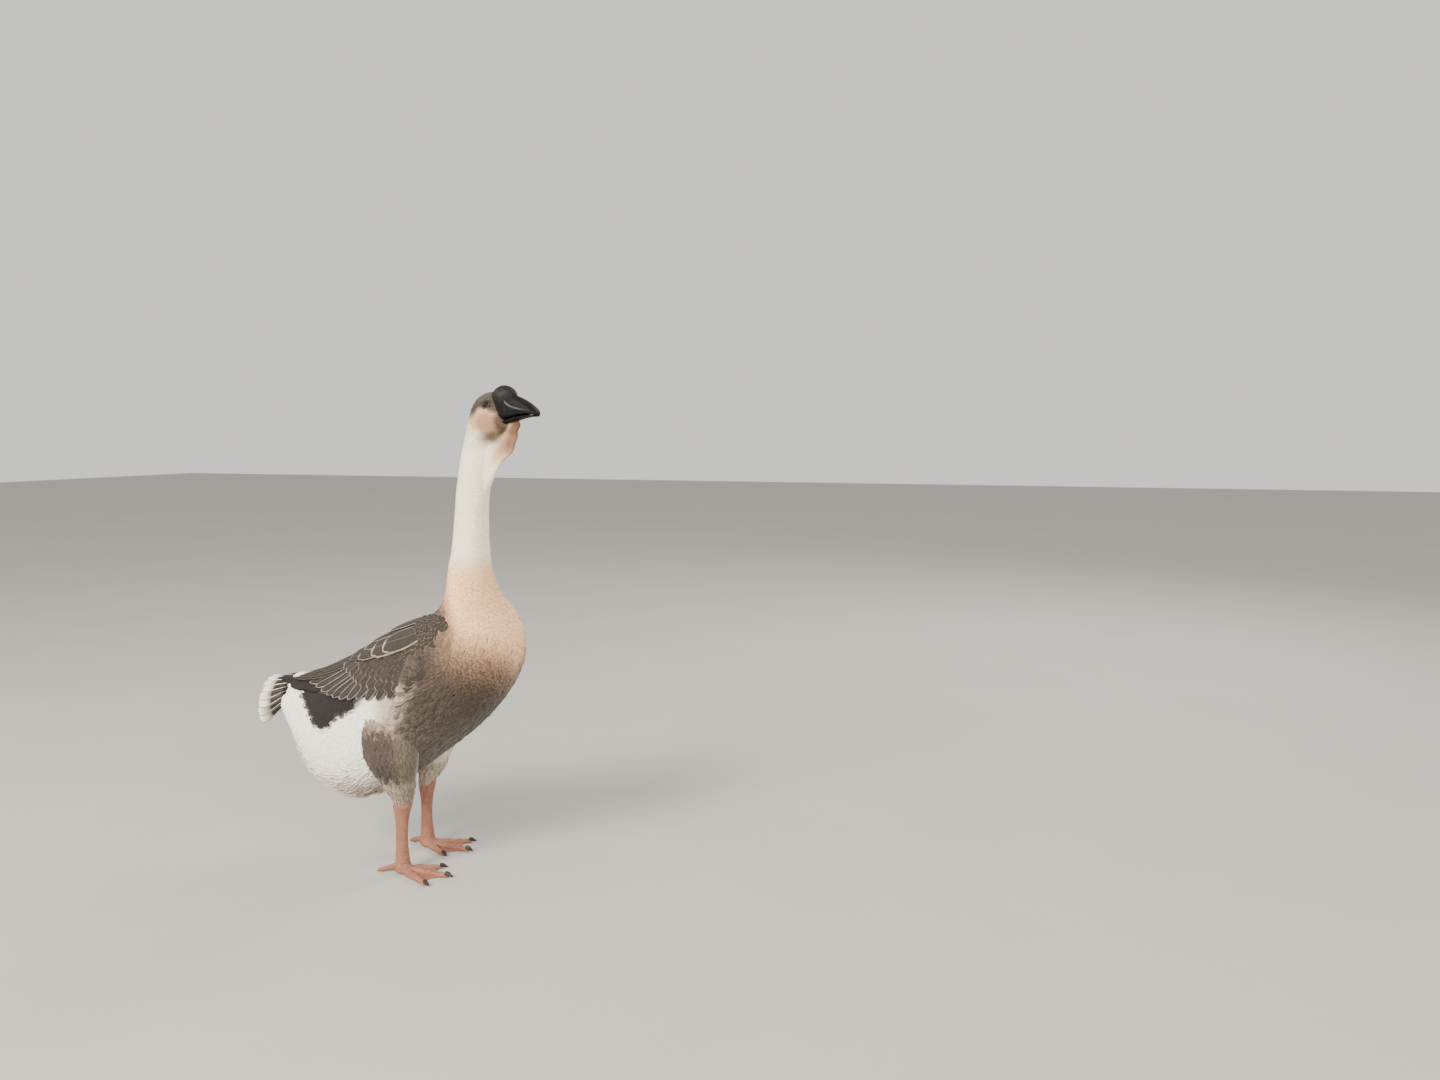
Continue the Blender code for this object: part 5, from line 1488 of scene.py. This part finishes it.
billLook = {
    "sections": np.array([
        (0.1765, 0.8375, 0.2005, 0.7968, 0.0160),
        (0.1965, 0.8430, 0.2110, 0.7998, 0.0168),
        (0.2180, 0.8405, 0.2240, 0.8028, 0.0162),
        (0.2365, 0.8340, 0.2385, 0.8052, 0.0150),
        (0.2510, 0.8262, 0.2515, 0.8065, 0.0140),
        (0.2605, 0.8195, 0.2610, 0.8060, 0.0120),
        (0.2660, 0.8148, 0.2668, 0.8048, 0.0086),
        (0.2685, 0.8105, 0.2688, 0.8046, 0.0042),
    ]),  # top (x, z), bottom (x, z) and half width
    "lowerDepth": np.array([0.0070, 0.0066, 0.0056, 0.0046, 0.0038, 0.0028, 0.0014, 0.0006]),
    "mouthGap": 0.0006,
    "lowerWidth": 0.90,
    "nostril": (0.2220, 0.8205, 0.0062, 0.0026, -18.0),
    # the pale line and its colour: a painted highlight along the bill's side
    "highlightLine": np.array([(0.2020, 0.8330), (0.2085, 0.8265), (0.2160, 0.8225), (0.2300, 0.8180),
                          (0.2600, 0.8125)]),
    "lamellaPitch": 0.0016,
    "highlightTone": (0.125, 0.120, 0.108),
}


def billArch(top, bottom, width, angle, flat):
    # domed towards the top edge and nearly flat at the bottom one
    up, across = np.cos(angle), np.sin(angle)
    level = np.where(up > 0, 0.30 + 0.70 * up, 0.30 - 0.30 * np.abs(up) ** flat)
    across = np.sign(across) * np.abs(across) ** 0.8
    inPlane = bottom + level[..., None] * (top - bottom)
    return np.stack([inPlane[..., 0], width * across, inPlane[..., 1]], axis=-1), level


def upperBill():
    look = billLook
    a, b = wholeGrid(0, 7, 150, 120)
    a, b = np.broadcast_arrays(a, b)
    row = smoothRows(look["sections"], a)
    points, level = billArch(row[..., 0:2], row[..., 2:4], row[..., 4], b, 0.6)
    out = points - points.mean(axis=1, keepdims=True)
    out /= np.linalg.norm(out, axis=-1, keepdims=True)
    x, z = points[..., 0], points[..., 2]
    onSide = blendStep(0.35, 0.8, np.abs(out[..., 1]))
    # a groove above the cutting edge, the ridges of the lamellae under it, and the nostril's slit
    groove = np.exp(-(((level - 0.20) / 0.045) ** 2)) * onSide
    groove = groove * blendStep(0.4, 1.2, a) * blendStep(6.6, 5.6, a)
    ridges = np.cos(2 * math.pi * x / look["lamellaPitch"]) * np.exp(-(((level - 0.03) / 0.05) ** 2)) * onSide
    nx, nz, long, high, tilt = look["nostril"]
    turn = math.radians(tilt)
    u = ((x - nx) * math.cos(turn) + (z - nz) * math.sin(turn)) / long
    v = (-(x - nx) * math.sin(turn) + (z - nz) * math.cos(turn)) / high
    hole = np.clip(1.25 - np.hypot(u, v), 0, 1) * onSide
    rim = np.exp(-(((np.hypot(u, v) - 1.25) / 0.30) ** 2)) * onSide
    nail = blendStep(5.05, 5.25, a + 0.30 * (1 - level)) * blendStep(0.2, 0.6, level)
    seam = np.exp(-(((a + 0.30 * (1 - level) - 5.15) / 0.07) ** 2)) * blendStep(0.2, 0.5, level)
    height = -0.0006 * groove + 0.00018 * ridges * blendStep(1.0, 2.0, a) * blendStep(6.0, 5.0, a)
    height = height - 0.0026 * hole + 0.0005 * rim + 0.0005 * nail - 0.0004 * seam
    # a raised line with a painted highlight along it, which starts under the knob and fades towards the tip
    line = np.interp(x, *look["highlightLine"].T)
    along = blendStep(0.199, 0.203, x) * blendStep(0.262, 0.215, x)
    line = np.exp(-(((z - line) / 0.0011) ** 2)) * onSide * along
    points = points + (height + 0.0004 * line)[..., None] * out
    start = points[:1] - np.array([0.004, 0, 0])
    mesh = tubeMesh(placed(np.concatenate([start, points])))
    mark = np.concatenate([0 * line[:1].ravel(), line.ravel(), [0, 0]])
    return mesh, mark


def makeUpperBill():
    mesh, mark = upperBill()
    piece = meshPiece("upperBill", *mesh, billFinish)
    # the painted highlight's share at each point, for the bill's finish
    layer = piece.data.attributes.new("mark", "FLOAT", "POINT")
    layer.data.foreach_set("value", mark.astype(np.float32))
    finishPiece(piece, "bill", "bill_upper")


def lowerBill():
    look = billLook
    a, b = wholeGrid(0, 6.9, 110, 80)
    a, b = np.broadcast_arrays(a, b)
    row = smoothRows(look["sections"], a)
    depth = smoothRows(look["lowerDepth"][:, None], a)[..., 0]
    top = row[..., 2:4] - np.array([0, look["mouthGap"]])
    low = top - np.stack([0 * depth, np.maximum(depth, 0.0008)], -1)
    points, level = billArch(low, top, row[..., 4] * look["lowerWidth"], b, 0.4)
    out = points - points.mean(axis=1, keepdims=True)
    out /= np.linalg.norm(out, axis=-1, keepdims=True)
    ridges = np.cos(2 * math.pi * points[..., 0] / look["lamellaPitch"])
    ridges = ridges * np.exp(-(((level - 0.12) / 0.12) ** 2))
    onSide = blendStep(0.5, 0.9, np.abs(out[..., 1]))
    points = points + (0.00020 * ridges * onSide * blendStep(0.8, 1.6, a))[..., None] * out
    start = points[:1] - np.array([0.004, 0, 0])
    return tubeMesh(placed(np.concatenate([start, points])))


def unitSphere(margin, rows, sides):
    # angles down from the pole, as far as the margin from either end, and the sphere's points
    down = np.linspace(margin, math.pi - margin, rows)[:, None]
    around = (np.arange(sides) * 2 * math.pi / sides)[None, :]
    unit = [np.sin(down) * np.cos(around), np.sin(down) * np.sin(around), np.cos(down) + 0 * around]
    return down, np.stack(unit, -1)


knobLook = {"centre": (0.1935, 0.0, 0.8372), "half": (0.0258, 0.0172, 0.0213)}


def knobShape():
    # an ellipsoid with a shallow dimple field, so that it is not a perfect ball
    _, unit = unitSphere(0.02, 90, 110)
    broad = np.sin(5 * unit[..., 0] + 2) * np.cos(7 * unit[..., 2])
    fine = np.sin(13 * unit[..., 1] + 9 * unit[..., 2])
    lump = 1 + 0.012 * broad + 0.006 * fine
    points = np.array(knobLook["centre"]) + unit * np.array(knobLook["half"]) * lump[..., None]
    return tubeMesh(placed(points))


billFinish = hornFinish("bill horn", (0.0050, 0.0047, 0.0048), (0.014, 0.0135, 0.012), 240.0, 0.58, True)
knobFinish = hornFinish("knob skin", (0.014, 0.013, 0.0115), (0.040, 0.037, 0.032), 420.0, 0.64)
makeUpperBill()
finishPiece(meshPiece("lowerBill", *lowerBill(), billFinish), "bill", "bill_lower")
finishPiece(meshPiece("billKnob", *knobShape(), knobFinish), "bill", "knob")
print("bill made")


def eyeFrame(side):
    # where the eye sits on the face, and its own outward, forward and upward directions
    angle = math.radians(eyeLook["angle"]) * side
    spot = bodyPoint(eyeLook["place"], angle)
    out = bodySurface(eyeLook["place"], angle, 1.0) - spot
    ahead = np.array([1.0, 0.0, 0.15])
    ahead = ahead - out * (ahead @ out)
    ahead /= np.linalg.norm(ahead)
    return spot, out, ahead, np.cross(out, ahead) * side


def eyeFinish(centre, gaze, name):
    # dark brown iris round a black pupil, by distance from the eye's own axis, under a wet coat
    material, tree, shader = newMaterial(f"eye {name}", 0.14, 0.12, 0.0, 0.08)
    shader.inputs["Coat Roughness"].default_value = 0.04
    spot = node(tree, "ShaderNodeTexCoord")
    away = node(tree, "ShaderNodeVectorMath", operation="DISTANCE")
    link(tree, spot.outputs["Object"], away.inputs[0])
    away.inputs[1].default_value = tuple(centre + gaze * eyeLook["radius"])
    streak = node(tree, "ShaderNodeTexNoise")
    streak.inputs["Scale"].default_value = 900.0
    link(tree, spot.outputs["Object"], streak.inputs["Vector"])
    blurred = maths(tree, "MULTIPLY_ADD", streak.outputs["Fac"], 0.0006, away.outputs["Value"])
    iris = mixColour(tree, ramp(tree, blurred, 0.0024, 0.0030), (0.002, 0.0015, 0.0015),
                     (0.014, 0.007, 0.004))
    rim = mixColour(tree, ramp(tree, blurred, 0.0046, 0.0056), iris, (0.010, 0.007, 0.006))
    link(tree, rim, shader.inputs["Base Color"])
    return material


def makeEye(name, side):
    spot, out, ahead, up = eyeFrame(side)
    centre = spot - eyeLook["sunk"] * out
    down, unit = unitSphere(0.01, 64, 80)
    axes = np.stack([ahead, up, out])
    cornea = 1 + 0.05 * np.exp(-((down / 0.45) ** 2))  # the clear front stands a little proud
    points = placed(centre + (unit * cornea[..., None] * eyeLook["radius"]) @ axes)
    middle = placed(centre)
    gaze = placed(centre + out) - middle
    finish = eyeFinish(middle, gaze / np.linalg.norm(gaze), name)
    piece = meshPiece(f"eyeball_{name}", *tubeMesh(points), finish)
    finishPiece(piece, "eye", f"eye_{name}")


def makeLids(name, side):
    # a bare ring of skin round the eye: an almond path with a thick upper and thin lower rim
    spot, out, ahead, up = eyeFrame(side)
    turn = np.linspace(0, 2 * math.pi, 97)[:-1, None]
    cut = np.linspace(0, 2 * math.pi, 25)[None, :-1]
    spoke = 1.10 * np.cos(turn)[..., None] * ahead + 0.90 * np.sin(turn)[..., None] * up
    inward = spoke / np.linalg.norm(spoke, axis=-1, keepdims=True)
    thick = eyeLook["lidThick"] * (0.85 + 0.25 * np.sin(turn)) * (1 + 0.10 * np.sin(17 * turn + 3 * cut))
    ring = spot + eyeLook["lid"] * 0.93 * spoke - 0.0003 * out
    wide, proud = 1.05 * thick * np.cos(cut), thick * 0.8 * np.sin(cut)
    points = ring + wide[..., None] * inward + proud[..., None] * out
    rows, columns = points.shape[:2]
    index = np.arange(rows * columns).reshape(rows, columns)
    nextRow, nextColumn = np.roll(index, -1, axis=0), np.roll(index, -1, axis=1)
    corner = np.roll(nextRow, -1, axis=1)
    faces = np.concatenate([np.stack([index, nextColumn, corner], -1).reshape(-1, 3),
                            np.stack([index, corner, nextRow], -1).reshape(-1, 3)])
    flat = placed(points.reshape(-1, 3))
    finishPiece(meshPiece(f"lids_{name}", flat, facingOut(flat, faces), lidFinish), "face_plumage", "head")


def lidMaterial():
    material, tree, shader = newMaterial("lid skin", 0.6, 0.35)
    blotch = node(tree, "ShaderNodeGroup", node_tree=blotchGroup)
    blotch.inputs["Color"].default_value = (0.050, 0.038, 0.025, 1)
    blotch.inputs["Scale"].default_value = 900.0
    blotch.inputs["Amount"].default_value = 0.9
    link(tree, blotch.outputs["Color"], shader.inputs["Base Color"])
    bumpInto(tree, shader, blotch.outputs["Height"], 0.5, 0.0003)
    return material


lidFinish = lidMaterial()
for name, side in sideOf.items():
    makeEye(name, side)
    makeLids(name, side)
print("eyes made")


# Legs and feet.
def legMaterial(name, colour, darker, scale):
    # scaly skin: small cells with darker joints, and soft blotches over them
    material, tree, shader = newMaterial(name, 0.48, 0.4)
    spot = node(tree, "ShaderNodeTexCoord")
    cells = node(tree, "ShaderNodeTexVoronoi", feature="DISTANCE_TO_EDGE")
    cells.inputs["Scale"].default_value = scale
    link(tree, spot.outputs["Object"], cells.inputs["Vector"])
    joints = ramp(tree, cells.outputs["Distance"], 0.0, 0.14)
    blotch = node(tree, "ShaderNodeGroup", node_tree=blotchGroup)
    blotch.inputs["Color"].default_value = (*colour, 1)
    blotch.inputs["Scale"].default_value = 70.0
    blotch.inputs["Amount"].default_value = 0.55
    mixed = mixColour(tree, joints, darker, blotch.outputs["Color"])
    link(tree, mixed, shader.inputs["Base Color"])
    rough = maths(tree, "MULTIPLY_ADD", joints, -0.18, 0.62)
    link(tree, rough, shader.inputs["Roughness"])
    bumpInto(tree, shader, joints, 0.5, 0.0005)
    shader.inputs["Subsurface Weight"].default_value = 0.12
    shader.inputs["Subsurface Radius"].default_value = (0.006, 0.002, 0.001)
    return material


legFinish = legMaterial("leg skin", (0.34, 0.145, 0.088), (0.18, 0.070, 0.042), 460.0)
clawFinish = hornFinish("claw horn", (0.035, 0.027, 0.022), (0.12, 0.09, 0.07), 300.0, 0.45)

toeRows = {
    "inner": (-30, 0.070, 0.0062, 0.0100, (0.42, 0.80)),
    "middle": (-2, 0.092, 0.0068, 0.0110, (0.36, 0.62, 0.86)),
    "outer": (27, 0.083, 0.0062, 0.0100, (0.30, 0.52, 0.72, 0.90)),
}  # heading in degrees, length, half width, height and knuckles
footLook = {"clawLength": 0.0095, "webThick": 0.0022, "webLift": 0.0006, "reach": (0.92, 0.90, 0.90),
            "scutePitch": 0.0040, "scuteDepth": 0.00035}


def turned(points, degrees):
    c, s = math.cos(math.radians(degrees)), math.sin(math.radians(degrees))
    x, y = points[..., 0], points[..., 1]
    return np.stack([x * c - y * s, x * s + y * c, points[..., 2]], -1)


def toeShape(heading, length, half, height, knuckles):
    # an oval flattened on the floor, thinner towards the claw, swelling at each knuckle
    t = np.linspace(0, 1, 90)[:, None]
    b = (np.arange(40) * 2 * math.pi / 40)[None, :]
    swell = sum(np.exp(-(((t - k) / 0.055) ** 2)) for k in knuckles)
    size = (1.15 - 0.55 * t) * (1 + 0.16 * swell) * (1 - 0.30 * blendStep(0.93, 1.0, t))
    top = blendStep(0.0, 0.6, np.sin(b))
    scute = np.abs(np.sin(math.pi * t * length / footLook["scutePitch"]))
    size = size + footLook["scuteDepth"] / half * top * (scute ** 0.5 - 0.6)
    y = half * size * np.cos(b) * (1 + 0.05 * np.sin(b))
    z = height * size * np.clip(0.42 + 0.62 * np.sin(b), 0, 1)
    return turned(np.stack([t * length + 0 * y, y, z], -1), heading)


def clawShape(heading, start, half, height):
    t = np.linspace(-0.45, 1, 30)[:, None]
    b = (np.arange(24) * 2 * math.pi / 24)[None, :]
    size = np.interp(t[:, 0], (-0.45, 0.25, 0.70, 1.0), (0.95, 0.80, 0.50, 0.10))[:, None]
    middle = height * (0.62 - 0.40 * np.clip(t, 0, 1) ** 1.6)
    z = np.maximum(middle + 0.42 * height * size * np.sin(b), footLook["webLift"])
    y = 0.62 * half * size * np.cos(b)
    return turned(np.stack([start + t * footLook["clawLength"] + 0 * y, y, z], -1), heading)


def webShape(first, second, reachFirst, reachSecond):
    # a thin fan between two toes: its front edge curves in, and fine folds spread from the ankle
    share = np.linspace(0, 1, 60)[:, None]
    out = np.linspace(0.10, 1, 40)[None, :]
    heading = np.radians(toeRows[first][0] * (1 - share) + toeRows[second][0] * share)
    ends = toeRows[first][1] * reachFirst * (1 - share) + toeRows[second][1] * reachSecond * share
    span = ends * (1 - 0.16 * np.sin(math.pi * share) ** 0.8)
    folds = 0.0005 * np.sin(share * math.pi * 9 + 2 * out) * np.sin(math.pi * share) * out
    sag = footLook["webThick"] * (1.15 - 0.45 * np.sin(math.pi * share))
    low = footLook["webLift"] + 0 * share * out
    top = np.stack([span * out * np.cos(heading), span * out * np.sin(heading), low + sag + folds * 0.6], -1)
    return slabMesh(top, np.stack([top[..., 0], top[..., 1], low], -1))


def ankleShape():
    rows = np.array([(0.003, 0.0190, 0.0128, 0.0120), (0.003, 0.0172, 0.0133, 0.0124),
                     (0.004, 0.0115, 0.0150, 0.0138), (0.006, 0.0050, 0.0165, 0.0142),
                     (0.007, 0.0000, 0.0120, 0.0105)])
    a, b = wholeGrid(0, 4, 40, 64)
    row = smoothRows(rows, a)
    x = row[..., 0] + row[..., 2] * np.cos(b)
    y = row[..., 3] * np.sin(b)
    return np.stack([x, y, np.maximum(row[..., 1] + 0 * x, 0)], -1)


def hindToeShape():
    rows = np.array([(0.0, 0.0090, 0.0062), (-0.010, 0.0096, 0.0058), (-0.020, 0.0080, 0.0047),
                     (-0.030, 0.0046, 0.0046), (-0.037, 0.0030, 0.0036), (-0.042, 0.0016, 0.0018)])
    a, b = wholeGrid(0, 5, 50, 28)
    row = smoothRows(rows, a)
    y = -0.25 * row[..., 0] + 0.85 * row[..., 2] * np.cos(b)
    z = np.maximum(row[..., 1] + row[..., 2] * np.sin(b), 0)
    return np.stack([row[..., 0] + 0 * y, y, z], -1)


def footPlace(name, points):
    # from the foot's own middle to under its shank
    side, stride = sideOf[name], legStride[name]
    shift = np.array([stride - 0.001, 0.060, 0.0])
    return placed((points + shift) * np.array([1, side, 1]))


def makeLeg(name):
    parts = []
    for shape in (ankleShape(), hindToeShape(), *(toeShape(*row) for row in toeRows.values())):
        parts.append(tubeMesh(footPlace(name, shape)))
    names = list(toeRows)
    for i in range(2):
        points, faces = webShape(names[i], names[i + 1], *footLook["reach"][i:i + 2])
        points = footPlace(name, points)
        parts.append((points, facingOut(points, faces)))
    finishPiece(united(f"webbedFoot_{name}", parts, legFinish), "leg_skin", f"foot_{name}")
    for toe, (heading, length, half, height, _) in toeRows.items():
        points = footPlace(name, clawShape(heading, length, half, height))
        finishPiece(meshPiece(f"claw_{toe}_{name}", *tubeMesh(points), clawFinish), "leg_skin",
                    f"foot_{name}")
    a, b = wholeGrid(-0.25, 6, 200, 96)
    point = legPoint("shank", name)
    front = blendStep(0.1, 0.7, np.cos(b))
    scute = np.abs(np.sin(math.pi * point(a, b)[..., 2] / 0.0062)) ** 0.5
    shank = standing(point)(a, b, 0.0004 * front * (scute - 0.6))
    piece = meshPiece(f"shankSkin_{name}", *tubeMesh(placed(shank)), legFinish)
    finishPiece(piece, "leg_skin", f"shank_{name}")


for name in sideOf:
    makeLeg(name)
print("legs made")


# Floor, light and the end of the script.
studio = {
    "floor": (0.42, 0.40, 0.375),
    "world": (0.90, 0.885, 0.86),
    "worldStrength": 1.05,
    "lamps": {
        "key": ((-1.2, -3.6, 2.9), 2.2, 440, (1.0, 0.95, 0.87)),
        "fill": ((3.0, -2.4, 1.8), 2.6, 110, (0.98, 0.97, 0.95)),
        "rim": ((1.6, 3.0, 2.8), 1.8, 90, (1.0, 0.97, 0.93)),
    },
    "aim": (0.0, 0.0, 0.45),
    "floorReach": 14.0,
}


def makeStage():
    mesh = bpy.data.meshes.new("floor")
    reach = studio["floorReach"]
    corners = [(x * reach, y * reach, 0) for x, y in ((-1, -1), (1, -1), (1, 1), (-1, 1))]
    mesh.from_pydata(corners, [], [(0, 1, 2, 3)])
    material, tree, shader = newMaterial("floor", 0.85, 0.2)
    blotch = node(tree, "ShaderNodeGroup", node_tree=blotchGroup)
    blotch.inputs["Color"].default_value = (*studio["floor"], 1)
    blotch.inputs["Scale"].default_value = 3.0
    blotch.inputs["Amount"].default_value = 0.05
    link(tree, blotch.outputs["Color"], shader.inputs["Base Color"])
    mesh.materials.append(material)
    floor = bpy.data.objects.new("floor", mesh)
    bpy.context.scene.collection.objects.link(floor)
    world = bpy.data.worlds.new("studio")
    world.use_nodes = True
    background = world.node_tree.nodes["Background"]
    background.inputs["Color"].default_value = (*studio["world"], 1)
    background.inputs["Strength"].default_value = studio["worldStrength"]
    bpy.context.scene.world = world
    for name, (spot, size, power, colour) in studio["lamps"].items():
        data = bpy.data.lights.new(name, "AREA")
        data.shape, data.size, data.energy, data.color = "DISK", size, power, colour
        lamp = bpy.data.objects.new(name, data)
        lamp.location = spot
        lamp.rotation_euler = (Vector(studio["aim"]) - Vector(spot)).to_track_quat("-Z", "Y").to_euler()
        bpy.context.scene.collection.objects.link(lamp)


makeStage()
print("stage made")
